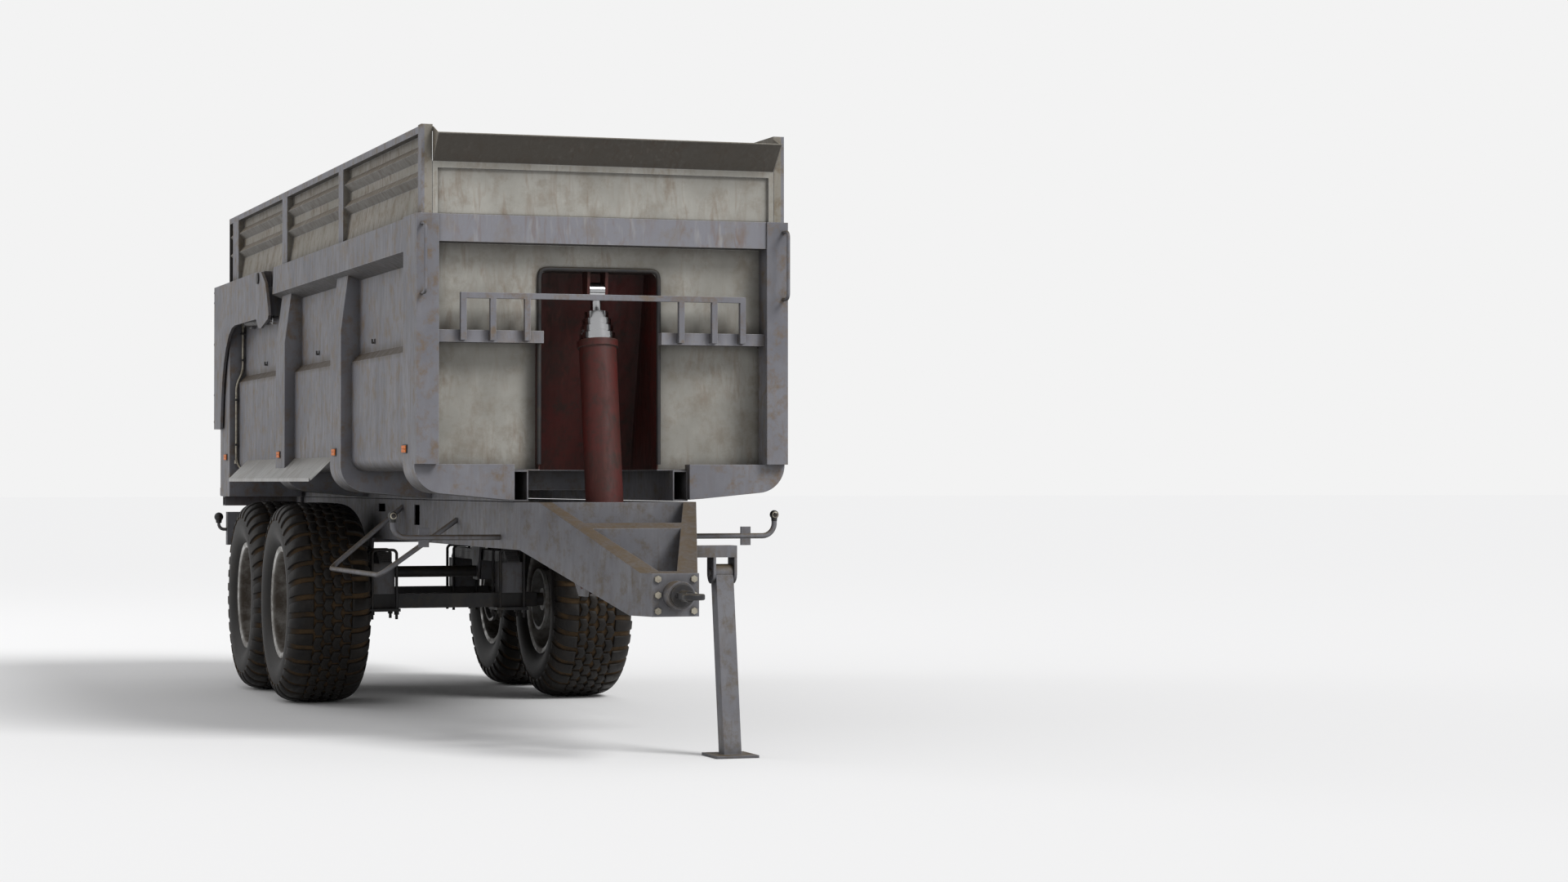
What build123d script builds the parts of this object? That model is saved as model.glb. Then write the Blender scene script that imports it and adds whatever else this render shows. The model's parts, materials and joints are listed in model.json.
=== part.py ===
from build123d import *
import math
import os

# Tandem-axle tipping trailer for grain. Millimetres. +X towards the tractor,
# +Y to the left of the vehicle, +Z up, origin on the ground below the middle of the whole vehicle.
# A station s is a distance behind the front face of the body.

# ---- driving dimensions -------------------------------------------------
body_width = 2200.0          # over the side belts
body_length = 7050.0         # front face to the rear face of the rear posts
floor_under = 1565.0         # underside of the body floor
body_top = 3000.0            # top of the monocoque body
extension_height = 510.0     # silage extension above the body
sheet = 6.0                  # side, floor and wall sheet
pressing = 5.0               # folded ribs, posts and belts
upper_inset = 117.0          # upper side panel, in from the belt face
lower_inset = 68.0           # lower side panel, in from the belt face
belly_radius = 90.0
ledge_low = 2250.0           # foot of the side panel's ledge
ledge_high = 2300.0
rib_width = 350.0
rib_stations = (2220.0, 4240.0)
post_width = 360.0           # front corner post
rear_post_width = 430.0
belt_drop = 185.0            # height of the side belt
belt_end = 4690.0            # station of the belt's rear end, at its top
rail_outer = 520.0           # chassis rail's outer face from the centreline
rail_width = 90.0
rail_height = 270.0
rail_under = 1115.0
rail_wall = 8.0
front_overhang = 60.0        # rails ahead of the body's front face
tow_reach = 1755.0           # body front face to the tip of the towing eye
eye_height = 900.0
eye_bore = 50.0
tip_angle = 45.0
wheel_diameter = 1360.0
tyre_width = 580.0
rim_diameter = 684.0
axle_station = 4840.0        # middle of the tandem bogie
axle_spacing = 1440.0
wheel_centre = 910.0         # wheel's mid plane from the centreline
stub_radius = 45.0
running_gap = 0.05           # radial clearance of a pin or stub in its bore
ram_closed = 1670.0          # height from the ram's trunnion to its top eye
ram_radius = 108.0
stage_count = 4
door_angle = 80.0
gate_depth = 140.0           # tailgate, plate to outer face
tip_overhang = 270.0         # body behind the tipping hinge
chute_width = 500.0
chute_height = 400.0

# ---- derived ------------------------------------------------------------
half = body_width / 2
gate_gap = 4.0
gate_face = body_length + gate_gap
lip_out = 4.0                # chute lip beyond the tailgate
rear_reach = gate_face + gate_depth + lip_out
front_x = (rear_reach - tow_reach) / 2
panel_upper = half - upper_inset
panel_lower = half - lower_inset
top_z = body_top + extension_height
rail_top = rail_under + rail_height
rail_mid = rail_under + rail_height / 2
rail_inner = rail_outer - rail_width
hull_gap = 4.0               # body runners above the chassis rails
runner_under = rail_top + hull_gap
floor_top = floor_under + sheet
tip_station = body_length - tip_overhang
wheel_z = wheel_diameter / 2
wheel_stations = {"front": axle_station - axle_spacing / 2, "rear": axle_station + axle_spacing / 2}


def at(s):
    return front_x - s


def block(s0, s1, y0, y1, z0, z1):
    # box between two stations
    size = Box(abs(s1 - s0), abs(y1 - y0), abs(z1 - z0))
    return Pos(at((s0 + s1) / 2), (y0 + y1) / 2, (z0 + z1) / 2) * size


def rod_y(s, z, y0, y1, radius):
    return Pos(at(s), (y0 + y1) / 2, z) * Rot(90, 0, 0) * Cylinder(radius, abs(y1 - y0))


def rod_x(y, z, s0, s1, radius):
    return Pos(at((s0 + s1) / 2), y, z) * Rot(0, 90, 0) * Cylinder(radius, abs(s1 - s0))


def rod_z(s, y, z0, z1, radius):
    return Pos(at(s), y, (z0 + z1) / 2) * Cylinder(radius, abs(z1 - z0))


def side_plate(outline, y0, y1):
    # outline of (station, height) points, standing between two planes of y
    points = [(at(s), z) for s, z in outline]
    face = Plane.XZ * Polygon(*points, align=None)
    return Pos(0, min(y0, y1), 0) * extrude(face, amount=abs(y1 - y0), dir=(0, 1, 0))


def cross_face(outline):
    return Polygon(*outline, align=None)


def along(face, s0, s1):
    # a (y, z) face run between two stations
    placed = Plane.YZ * face
    return Pos(at(max(s0, s1)), 0, 0) * extrude(placed, amount=abs(s1 - s0), dir=(1, 0, 0))


def mirrored(shape):
    return mirror(shape, about=Plane.XZ)


def pair(shape):
    # the same piece on the right (given) and on the left
    return [shape, mirrored(shape)]


def bent_tube(points, bend, radius):
    # round bar or tube along straight runs joined by bends; points are (station, y, z)
    places = [Vector(at(s), y, z) for s, y, z in points]
    path = FilletPolyline(*places, radius=bend)
    start = Plane(origin=path @ 0, z_dir=path % 0)
    return sweep(start * Circle(radius), path=path)


def joined(*shapes):
    total = shapes[0]
    for shape in shapes[1:]:
        total = total + shape
    return total


def solids_of(item):
    if isinstance(item, (list, tuple)):
        found = []
        for piece in item:
            found.extend(solids_of(piece))
        return found
    return list(item.solids())


nodes = {}


def keep(name, item):
    nodes[name] = Compound(children=solids_of(item))


# ---- body shell ---------------------------------------------------------
def tub_face(inset):
    low = floor_under + inset
    upper = panel_upper - inset
    lower = panel_lower - inset
    high = body_top + (50.0 if inset else 0.0)
    rise = inset * 0.4       # keeps the ledge one sheet thick
    right = [(upper, high), (upper, ledge_high - rise), (lower, ledge_low - rise), (lower, low)]
    face = cross_face(right + [(-y, z) for y, z in reversed(right)])
    corners = face.vertices().sort_by(Axis.Y)[:2]
    return fillet(corners, belly_radius - inset)


wall_station = 150.0         # front wall, upper part
lower_wall_station = 230.0   # front wall, below its beam
wall_step = 2325.0
well_half = 350.0            # inner half width of the ram well
well_top = 2714.0
well_back_top = 424.0
well_back_low = 724.0
shell_front = wall_station + sheet

tub_envelope = along(tub_face(0.0), shell_front, body_length)
tub_inside = along(tub_face(sheet), shell_front - 10, body_length + 10)
well_cut = block(shell_front - 10, well_back_low, -well_half, well_half, floor_under - 5, floor_top + 5)
keep("body_shell", tub_envelope - tub_inside - well_cut)


# belts round the top of the body
belt_low = body_top - belt_drop
belt_foot = belt_low - 53.0
belt_slant = 70.0


def belt_solid(inset):
    section = [(panel_upper - 80, body_top - inset), (half - inset, body_top - inset),
               (half - inset, belt_low + inset * 0.6), (panel_upper - 80, belt_foot - 36 + inset)]
    run = along(cross_face(section), post_width + inset, belt_end + belt_slant)
    slope = [(post_width, body_top), (belt_end - inset, body_top),
             (belt_end + belt_slant - inset, belt_foot - 40), (post_width, belt_foot - 40)]
    return run & side_plate(slope, 0, half + 50)


belt_outer = belt_solid(0.0) - tub_envelope
belt = belt_outer - belt_solid(pressing)
keep("side_belts", pair(belt))

# ribs, which curve under the body as bolsters and end on the runners
bolster_root = rail_top + 11
bolster_corner = rail_top + 65
bolster_bend = 165.0


def rib_face(top, shoulder, inset):
    outline = [(panel_upper - 80, top - inset), (shoulder - inset, top - inset), (half - inset, 2450.0),
               (half - inset, bolster_corner + inset), (rail_outer + 80, bolster_root + 6 + inset),
               (rail_outer + inset, bolster_root + inset), (rail_outer + inset, 1700.0 - inset),
               (panel_upper - 80, 1700.0 - inset)]
    face = cross_face(outline)
    corner = face.vertices().sort_by_distance((half - inset, bolster_corner + inset))[0]
    return fillet(corner, bolster_bend - inset)


def rib_solid(s0, width, top, shoulder):
    outer = along(rib_face(top, shoulder, 0.0), s0, s0 + width)
    inner = along(rib_face(top, shoulder, pressing), s0 + pressing, s0 + width - pressing)
    return outer - inner - tub_envelope - belt_solid(0.0)


rib_top = belt_low - 3.0
rib_shoulder = half - 47.0
ribs = [rib_solid(s, rib_width, rib_top, rib_shoulder) for s in rib_stations]
keep("body_ribs", [pair(rib) for rib in ribs])

# front corner posts: a closed box in front, a rib behind it
corner_inner = panel_upper - 11
corner_low = 1600.0
post_top = body_top + 10
post_box = block(0, post_width, corner_inner, half, corner_low, post_top)
post_hollow = block(8, post_width - pressing, corner_inner + pressing, half - pressing,
                    corner_low - 10, post_top - pressing)
front_bolster = rib_solid(60.0, post_width - 60.0, 1750.0, half) & block(
    60, post_width, 0, half + 1, 1300, corner_low)
shell_zone = along(tub_face(0.0), shell_front, post_width + 1)
shell_upper = block(shell_front, post_width + 1, 0, panel_upper, body_top, post_top + 1)
corner_post = post_box - post_hollow - shell_zone - shell_upper + front_bolster

# rear posts and the beam under them
rear_front = body_length - rear_post_width
post_foot = rail_top + 5
post_root = rail_outer + 30.0    # clears the tipping lugs
rear_outline = [(panel_upper - 80, body_top), (half, body_top), (half, post_foot),
                (post_root, post_foot), (post_root, 1700), (panel_upper - 80, 1700)]
rear_inner = [(panel_upper - 81, body_top - pressing), (half - pressing, body_top - pressing),
              (half - pressing, post_foot + pressing), (post_root + pressing, post_foot + pressing),
              (post_root + pressing, 1699), (panel_upper - 81, 1699)]
rear_post = along(cross_face(rear_outline), rear_front, body_length)
rear_post = rear_post - along(cross_face(rear_inner), rear_front + pressing, body_length - pressing)
rear_post = rear_post - tub_envelope
keep("body_posts", [pair(corner_post), pair(rear_post)])

# runners under the floor, the cross beams between them and the rear beam
runner_rear = body_length - 100
runner = block(100, runner_rear, rail_inner, rail_outer, runner_under, floor_under)
runner = runner - block(90, runner_rear + 10, rail_inner + rail_wall, rail_outer - rail_wall,
                        runner_under + rail_wall, floor_under - rail_wall)
body_beams = []
for s in (1200.0, rib_stations[0] + 130, 3350.0, rib_stations[1] + 130, body_length - 1450):
    body_beams.append(block(s, s + 90, -rail_inner, rail_inner, runner_under + 61, floor_under))
beam_foot = post_foot - 72
rear_beam = block(runner_rear, body_length - 5, -half + 17, half - 17, beam_foot, post_foot)
rear_beam = rear_beam - block(runner_rear + 8, body_length - 13, -half - 5, half + 5,
                              beam_foot + 8, post_foot - 8)
rear_web = block(runner_rear, body_length - 5, -rail_outer, rail_outer, post_foot, floor_under)
keep("body_runners", joined(runner, mirrored(runner), *body_beams) + rear_beam + rear_web)

# front wall: beam, belt and the opening for the ram
wall_high = block(wall_station, shell_front, -corner_inner, corner_inner, wall_step - sheet, body_top)
wall_ledge = block(shell_front, lower_wall_station + sheet, -panel_upper + sheet, panel_upper - sheet,
                   wall_step - sheet, wall_step)
wall_low = block(lower_wall_station, lower_wall_station + sheet, -panel_lower + sheet,
                 panel_lower - sheet, floor_top, wall_step - sheet)
wall_low = wall_low & along(tub_face(sheet), lower_wall_station, lower_wall_station + sheet)
beam_high = 2360.0
wall_beam = block(60, wall_station, -corner_inner, corner_inner, beam_high - 70, beam_high)
front_belt = block(12, wall_station, -corner_inner, corner_inner, body_top - 145, post_top)
front_belt = front_belt - block(17, wall_station + 1, -corner_inner + 5, corner_inner - 5,
                                body_top - 140, post_top - 5)
opening = cross_face([(-well_half, floor_under - 10), (well_half, floor_under - 10),
                      (well_half, well_top), (-well_half, well_top)])
opening = fillet(opening.vertices().sort_by(Axis.Y)[2:], 60)
front_wall = joined(wall_high, wall_ledge, wall_low, wall_beam, front_belt)
well_outer = well_half + sheet
well_gate = block(shell_front, lower_wall_station + 20, -well_outer, well_outer,
                  floor_under - 10, well_top + sheet)
front_wall = front_wall - along(opening, 0, lower_wall_station + 20) - well_gate
keep("front_wall", front_wall)

# ram well let into the front of the body
well_side = [(shell_front, well_top + sheet), (well_back_top + sheet, well_top + sheet),
             (well_back_low + sheet, floor_top), (shell_front, floor_top)]
well_room = [(shell_front - 10, well_top), (well_back_top, well_top),
             (well_back_low, floor_top - 1), (shell_front - 10, floor_top - 1)]
well = side_plate(well_side, -well_half - sheet, well_half + sheet)
well = well - side_plate(well_room, -well_half, well_half)

# telescopic ram: top eye under the well's roof, trunnion between the rails
ram_top_station = 230.0
ram_top_z = 2600.0
ram_foot_station = -50.0
ram_foot_z = ram_top_z - ram_closed
eye_half = 45.0
cheek_gap = 0.5
cheek = side_plate([(ram_top_station - 60, well_top + 3), (ram_top_station + 60, well_top + 3),
                    (ram_top_station + 45, ram_top_z - 50), (ram_top_station - 45, ram_top_z - 50)],
                   eye_half + cheek_gap, eye_half + cheek_gap + 16)
keep("ram_well", joined(well, cheek, mirrored(cheek)))

# ---- silage extension ---------------------------------------------------
ext_base = half - 86
ext_face = half - 40
ridge = half - 48
ext_root = half - 60
ext_sheet = 4.0
ext_rear = body_length - 150
rail_drop = 40.0
profile = [(ext_base, top_z - rail_drop), (ext_base, top_z - 95), (ridge, top_z - 140),
           (ext_base, top_z - 185), (ext_base, top_z - 235), (ridge, top_z - 280),
           (ext_base, top_z - 325), (ext_root, body_top)]
section = profile + [(y - ext_sheet, z) for y, z in reversed(profile)]
corrugated = along(cross_face(section), 60, ext_rear)
ext_side = corrugated + block(0, ext_rear, ext_base - 4, ext_face, top_z - rail_drop, top_z)
ext_side = ext_side + block(post_width + 5, ext_rear, panel_upper - sheet, ext_root, body_top, body_top + 5)
ext_side = ext_side + block(0, 85, ext_base - 2, half - 25, post_top, top_z)
ext_posts = ((rib_stations[0] + 140, 150.0), (rib_stations[1] + 140, 190.0), (body_length - 580, 260.0))
for s, width in ext_posts:
    ext_side = ext_side + block(s, s + width, ext_base - 2, ext_face, body_top, top_z)
ext_side = ext_side - block(-5, post_width + 5, ext_base - 90, half + 10, body_top - 5, post_top)
keep("extension_sides", pair(ext_side))

visor_reach = 150.0
visor_top = top_z - 65
frame_top = top_z - 207
ext_inner = ext_base - 4.0
front_frame = block(0, 36, -ext_inner, ext_inner, frame_top - 36, frame_top)
front_frame = front_frame + block(0, 36, -ext_inner, -ext_inner + 30, post_top, frame_top)
front_frame = front_frame + block(0, 36, ext_inner - 30, ext_inner, post_top, frame_top)
front_frame = front_frame + block(20, 26, -ext_inner, ext_inner, post_top, frame_top - 20)
visor_lip = 18.0
visor_outline = [(0, frame_top - 1), (6, frame_top - 1), (-visor_reach + 5, visor_top),
                 (-visor_reach + 5, visor_top + 5), (-visor_reach - visor_lip, visor_top + 5),
                 (-visor_reach - visor_lip, visor_top - 1), (-visor_reach, visor_top - 1)]
visor = side_plate(visor_outline, -ext_inner, ext_inner)
gusset_outline = [(0, frame_top), (-visor_reach, visor_top), (0, top_z - 12)]
gusset = side_plate(gusset_outline, ext_inner - 5, ext_inner)
keep("extension_front", joined(front_frame, visor, gusset, mirrored(gusset)))

rear_board = block(ext_rear - 30, ext_rear - 25, -ext_inner, ext_inner, body_top + 5, top_z - 20)
rear_board = rear_board + block(ext_rear - 60, ext_rear, -ext_inner, ext_inner, top_z - 50, top_z)
rear_board = rear_board + block(ext_rear - 60, ext_rear, -ext_inner, ext_inner, body_top + 5, body_top + 55)
for y in (-500.0, 0.0, 500.0):
    rear_board = rear_board + block(ext_rear - 60, ext_rear, y - 25, y + 25, body_top + 5, top_z)
keep("extension_rear", rear_board)

# ---- guards, grab rails and markers on the body --------------------------
guard_rise = 2570.0
bar = 33.0
guard_half = half - 256
ladder = block(8, 8 + bar, -guard_half, guard_half, guard_rise - bar, guard_rise)
for y in (guard_half - bar, guard_half - 204, guard_half - 404):
    upright = block(8, 8 + bar, y, y + bar, beam_high - 60, guard_rise)
    foot = block(8 + bar, 60, y, y + bar, beam_high - 60, beam_high - 10)
    ladder = joined(ladder, upright, foot, mirrored(upright), mirrored(foot))
keep("ladder_guard", ladder)

grab_y = half - 30
grab_reach = 95.0
grab = bent_tube([(0, grab_y, 2950), (-grab_reach, grab_y, 2950), (-grab_reach, grab_y, 2560),
                  (0, grab_y, 2560)], 35, 10)
keep("grab_rails", pair(grab))

strip_front = 2930.0
strip_rear = 6200.0
strip_root = 1655.0
strip_reach = half + 72
strip_low = 1524.0
strip_face = cross_face([(panel_lower, strip_root + 5), (strip_reach, strip_low),
                         (strip_reach, strip_low - 22), (strip_reach - 4, strip_low - 22),
                         (strip_reach - 4, strip_low - 3), (panel_lower, strip_root)])
strip = along(strip_face, strip_front, strip_rear)
for s in rib_stations:
    strip = strip - along(rib_face(rib_top, rib_shoulder, 0.0), s, s + rib_width)
keep("mudguards", pair(strip))

marker_z = 1687.0
marker_length = 115.0
marker_stations = (300.0, rib_stations[0] + 200, rib_stations[1] + 210, tip_station)
markers = []
for s in marker_stations:
    markers.append(block(s - marker_length / 2, s + marker_length / 2, half, half + 14,
                         marker_z - 25, marker_z + 25))
keep("side_markers", [pair(marker) for marker in markers])

# ---- tipping hinge ------------------------------------------------------
tip_radius = 35.0
lug_gap = 5.0
lug_outer = block(tip_station - 110, tip_station + 110, rail_outer, rail_outer + lug_gap + 20,
                  runner_under, runner_under + 110)
lug_outer = lug_outer + block(tip_station - 75, tip_station + 75, rail_outer + lug_gap,
                              rail_outer + lug_gap + 20, rail_mid, runner_under)
lug_outer = lug_outer + rod_y(tip_station, rail_mid, rail_outer + lug_gap, rail_outer + lug_gap + 20, 75)
lug_inner = block(tip_station - 110, tip_station + 110, rail_inner - lug_gap - 20, rail_inner, runner_under,
                  runner_under + 60)
lug_inner = lug_inner + block(tip_station - 75, tip_station + 75, rail_inner - lug_gap - 20,
                              rail_inner - lug_gap, rail_mid, runner_under)
lug_inner = lug_inner + rod_y(tip_station, rail_mid, rail_inner - lug_gap - 20, rail_inner - lug_gap, 75)
tip_bore = rod_y(tip_station, rail_mid, 0, half, tip_radius + running_gap)
tip_lugs = [pair(lug_outer - tip_bore), pair(lug_inner - tip_bore)]
tip_pin = rod_y(tip_station, rail_mid, rail_inner - 40, rail_outer + 35, tip_radius)
tip_pin = tip_pin + rod_y(tip_station, rail_mid, rail_outer + 26, rail_outer + 36, tip_radius + 14)

# ---- chassis ------------------------------------------------------------

def rail_solid(inset):
    straight = block(-front_overhang - inset, tip_station, rail_inner + inset, rail_outer - inset,
                     rail_under + inset, rail_top - inset)
    tail = rod_y(tip_station, rail_mid, rail_inner + inset, rail_outer - inset, rail_height / 2 - inset)
    return straight + tail


rail = rail_solid(0.0) - rail_solid(rail_wall)
bush = rod_y(tip_station, rail_mid, rail_inner, rail_outer, tip_radius + 20)
rail = rail + bush - tip_bore
rail = rail - block(2570, 2740, rail_outer - rail_wall - 1, rail_outer + 1, 1222, 1352)
rail = rail - block(3650, 3890, rail_outer - rail_wall - 1, rail_outer + 1, 1300, 1353)
keep("chassis_rails", pair(rail))

members = []
for s in (400.0, 1500.0, 2900.0, axle_station - 45, body_length - 750):
    members.append(block(s, s + 90, -rail_inner, rail_inner, rail_under + 25, rail_top - 45))
keep("crossmembers", members)

# drawbar: two tapering beams that meet at the head
head_station = -1350.0
beam_out = 45.0
head_half = 130.0
plan = [(at(-front_overhang), rail_outer), (at(-front_overhang), rail_inner), (at(-180), rail_inner - 20),
        (at(head_station + 90), 40), (at(head_station), 40), (at(head_station), head_half)]
plan_face = Polygon(*plan, align=None)
arm = extrude(plan_face, amount=3000, dir=(0, 0, 1))
head_block = block(head_station, head_station + 120, -head_half, head_half, 0, 2000)
tie = block(-640, -560, -340, 340, 0, 2000)
ram_tie = block(-230, -190, -rail_inner, rail_inner, 0, 2000)
drop = [(-front_overhang, rail_under), (-front_overhang, rail_top), (-260, rail_top),
        (head_station + 100, eye_height + 115), (head_station, eye_height + 115),
        (head_station, eye_height - 115), (head_station + 200, eye_height - 115)]
side_shape = side_plate(drop, -half, half)
plan_solid = joined(arm, mirrored(arm), head_block, tie, ram_tie)
drawbar = plan_solid & side_shape
leg_station = -820.0
leg_pivot_z = 1000.0
leg_inner = 385.0            # clear of the drawbar's arm when the leg folds up
leg_half = 50.0
leg_mid = leg_inner + leg_half
ear_gap = 3.0
ear = 15.0
ears = []
for y in (leg_inner - ear_gap - ear, leg_inner + 2 * leg_half + ear_gap):
    ears.append(block(leg_station - 60, leg_station + 60, y, y + ear, leg_pivot_z - 10, 1150))
    ears.append(rod_y(leg_station, leg_pivot_z, y, y + ear, 60))
carrier = block(leg_station - 60, leg_station + 60, 255, leg_inner + 2 * leg_half + ear_gap + ear, 1085, 1150)
leg_radius = 22.0
leg_bore = rod_y(leg_station, leg_pivot_z, 200, half, leg_radius + running_gap)
drawbar = joined(drawbar, carrier, *ears) - leg_bore

shank_radius = 42.0
flange = 25.0
head_plate = block(head_station - flange, head_station, -head_half, head_half,
                   eye_height - 115, eye_height + 115)
barrel_nose = head_station - flange - 110
head_barrel = rod_x(0, eye_height, barrel_nose, head_station - flange, 75)
shank_bore = rod_x(0, eye_height, barrel_nose - 1, head_station + 1, shank_radius + running_gap)
head_body = head_plate + head_barrel - shank_bore
bolt_radius = 12.0
bolt_places = [(y, z) for y in (-100.0, 100.0) for z in (-85.0, 0.0, 85.0)]
bolts = []
for y, z in bolt_places:
    shaft = rod_x(y, eye_height + z, head_station - flange - 15, head_station + 40, bolt_radius)
    hexagon = Pos(at(head_station - flange), y, eye_height + z) * Rot(0, 90, 0) * extrude(
        RegularPolygon(19, 6), amount=15)
    bolts.append(shaft + hexagon)
    bore = rod_x(y, eye_height + z, head_station - flange - 30, head_station + 45, bolt_radius + 0.5)
    head_body = head_body - bore
    drawbar = drawbar - bore
keep("drawbar_head", head_body)
keep("drawbar_bolts", bolts)

eye_radius = 60.0
eye_thick = 32.0
eye_station = -tow_reach + eye_radius
collar = rod_x(0, eye_height, barrel_nose - 22, barrel_nose - 2, 62)
shank = rod_x(0, eye_height, barrel_nose - 2, head_station - 2, shank_radius)
neck = block(eye_station + 35, barrel_nose - 20, -34, 34,
             eye_height - eye_thick / 2, eye_height + eye_thick / 2)
neck = neck + rod_x(0, eye_height, eye_station + 62, barrel_nose - 20, 30)
ring = rod_z(eye_station, 0, eye_height - eye_thick / 2, eye_height + eye_thick / 2, eye_radius)
ring = fillet(ring.edges().filter_by(GeomType.CIRCLE), 9)
hole = rod_z(eye_station, 0, eye_height - eye_thick, eye_height + eye_thick, eye_bore / 2)
keep("towing_eye", joined(collar, shank, neck, ring) - hole)

# the drawbar, now with its bolt holes
keep("drawbar", drawbar)

# parking leg: leans forward, past the upright, so that the load holds it on its stop
lean = 150.0
foot_thick = 15.0
reach = math.hypot(lean, leg_pivot_z)
tilt = math.degrees(math.atan2(lean, leg_pivot_z))
leg_bar = Box(96, 2 * leg_half, reach + 40) - Box(80, 2 * leg_half - 16, reach + 60)
leg_bar = Pos(0, 0, -(reach + 40) / 2 - 20) * leg_bar + Rot(90, 0, 0) * Cylinder(48, 2 * leg_half)
leg_bar = Pos(at(leg_station), leg_mid, leg_pivot_z) * Rot(0, -tilt, 0) * leg_bar
leg_bar = leg_bar & block(leg_station - 400, leg_station + 300, 0, half, foot_thick - 3, 1400)
foot_station = leg_station - lean
foot = block(foot_station - 140, foot_station + 140, leg_mid - 120, leg_mid + 120, 0, foot_thick)
leg_pin = rod_y(leg_station, leg_pivot_z, leg_inner - 30, leg_inner + 2 * leg_half + 30, leg_radius)
keep("parking_leg", joined(leg_bar, foot, leg_pin))

# ram cradle
cradle_half = 135.0
cradle_thick = 20.0
trunnion = 40.0
cradle = side_plate([(-190, rail_top - 30), (-190, 1000), (ram_foot_station - 70, 850),
                     (ram_foot_station + 70, 850), (400, 1160), (400, rail_top - 60), (60, rail_top - 30)],
                    cradle_half, cradle_half + cradle_thick)
cradle = cradle - rod_y(ram_foot_station, ram_foot_z, 0, half, trunnion + running_gap)
keep("ram_cradle", pair(cradle))

# ram tubes, modelled upright at the trunnion and then leaned onto the line to the top eye
ram_rise = ram_top_z - ram_foot_z
ram_lean = ram_top_station - ram_foot_station
ram_length = math.hypot(ram_rise, ram_lean)
ram_tilt = math.degrees(math.atan2(ram_lean, ram_rise))
ram_place = Pos(at(ram_foot_station), 0, ram_foot_z) * Rot(0, -ram_tilt, 0)
barrel_length = 1400.0
tube_wall = 9.0
slide_gap = 0.5
head_step = 42.0
foot_drop = 70.0
ram_barrel = Pos(0, 0, (barrel_length - foot_drop) / 2) * Cylinder(ram_radius, barrel_length + foot_drop)
ram_bore = Pos(0, 0, barrel_length / 2 + 20) * Cylinder(ram_radius - tube_wall, barrel_length)
trunnions = Rot(90, 0, 0) * Cylinder(trunnion, 2 * (cradle_half + cradle_thick))
ram_collar = Pos(0, 0, barrel_length - 20) * (Cylinder(ram_radius + 10, 40) - Cylinder(ram_radius - 1, 40))
keep("ram_barrel", ram_place * (ram_barrel + trunnions - ram_bore + ram_collar))
stage_outer = ram_radius - tube_wall - slide_gap
for number in range(1, stage_count + 1):
    tip = barrel_length + number * head_step
    low = 40.0 + number * 12.0
    last = number == stage_count
    stage = Pos(0, 0, (low + tip) / 2) * Cylinder(stage_outer, tip - low)
    lip = Pos(0, 0, tip - 15) * Cylinder(stage_outer + 5, 30)
    if last:
        eye_block = Pos(0, 0, ram_length) * Rot(90, 0, 0) * Cylinder(52, 2 * eye_half)
        neck_rod = Pos(0, 0, (tip + ram_length) / 2) * Cylinder(32, ram_length - tip)
        stage = joined(stage, neck_rod, eye_block)
    else:
        stage = stage + lip
        stage = stage - Pos(0, 0, (low + tip) / 2) * Cylinder(stage_outer - tube_wall, tip - low + 10)
    keep(f"ram_stage_{number}", ram_place * stage)
    stage_outer = stage_outer - tube_wall - slide_gap

# ---- lamps, arms and side guards ----------------------------------------
lamp_rear = tip_station - 10.0
lamp_front = lamp_rear - 80.0
lamp_edge = half + 3.0
lamp_inner = lamp_edge - 250
lamp_low = rail_under - 93
lamp_high = lamp_low + 250
lamp_beam = block(lamp_front + 10, lamp_rear - 10, -lamp_edge + 40, lamp_edge - 40,
                  rail_under - 80, rail_under)
lamp_box = block(lamp_front, lamp_rear, lamp_inner, lamp_edge, lamp_low, lamp_high)
lamp_box = lamp_box - block(lamp_front + 5, lamp_rear + 5, lamp_inner + 6, lamp_edge - 6,
                            lamp_low + 6, lamp_high - 6)
beam_clear = block(lamp_front - 5, lamp_rear + 5, lamp_inner, lamp_edge, lamp_low, lamp_high)
keep("lamp_beam", joined(lamp_beam - beam_clear - mirrored(beam_clear), lamp_box, mirrored(lamp_box)))
lens = block(lamp_rear - 40, lamp_rear - 2, lamp_inner + 15, lamp_edge - 15, lamp_low + 18, lamp_high - 18)
keep("tail_lamps", pair(lens))

ball_front = (400.0, half + 50, 1305.0)
ball_rear = (lamp_front + 40, half + 63, 1234.0)
arm_tube = 16.0
arm_low = 1180.0
front_arm = bent_tube([(ball_front[0], ball_front[1], ball_front[2] - 22),
                       (ball_front[0], ball_front[1], arm_low), (ball_front[0], rail_outer, arm_low)],
                      75, arm_tube)
front_plate = block(ball_front[0] - 8, ball_front[0] + 8, half - 160, half - 100,
                    arm_low - 55, arm_low + 55)
rear_arm = bent_tube([(ball_rear[0], ball_rear[1], ball_rear[2] - 30), (ball_rear[0], ball_rear[1], 1140),
                      (ball_rear[0], lamp_edge, 1140)], 40, 12)
keep("marker_arms", [pair(front_arm + front_plate), pair(rear_arm)])
lamp_front_ball = Pos(at(ball_front[0]), ball_front[1], ball_front[2]) * Sphere(27)
lamp_rear_ball = Pos(at(ball_rear[0]), ball_rear[1], ball_rear[2]) * Sphere(36)
lamp_front_ball = lamp_front_ball - front_arm
lamp_rear_ball = lamp_rear_ball - rear_arm
keep("marker_lamps", [pair(lamp_front_ball), pair(lamp_rear_ball)])

guard_rear = 3080.0
guard_front = 1500.0
guard_y = half - 100
guard_z = 935.0
guard = bent_tube([(guard_rear, rail_outer, 1338), (guard_rear, guard_y, guard_z),
                   (guard_front, guard_y, guard_z), (guard_front, rail_outer, 1270)], 60, 16)
keep("side_guards", pair(guard - rail_solid(0.0)))

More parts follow.
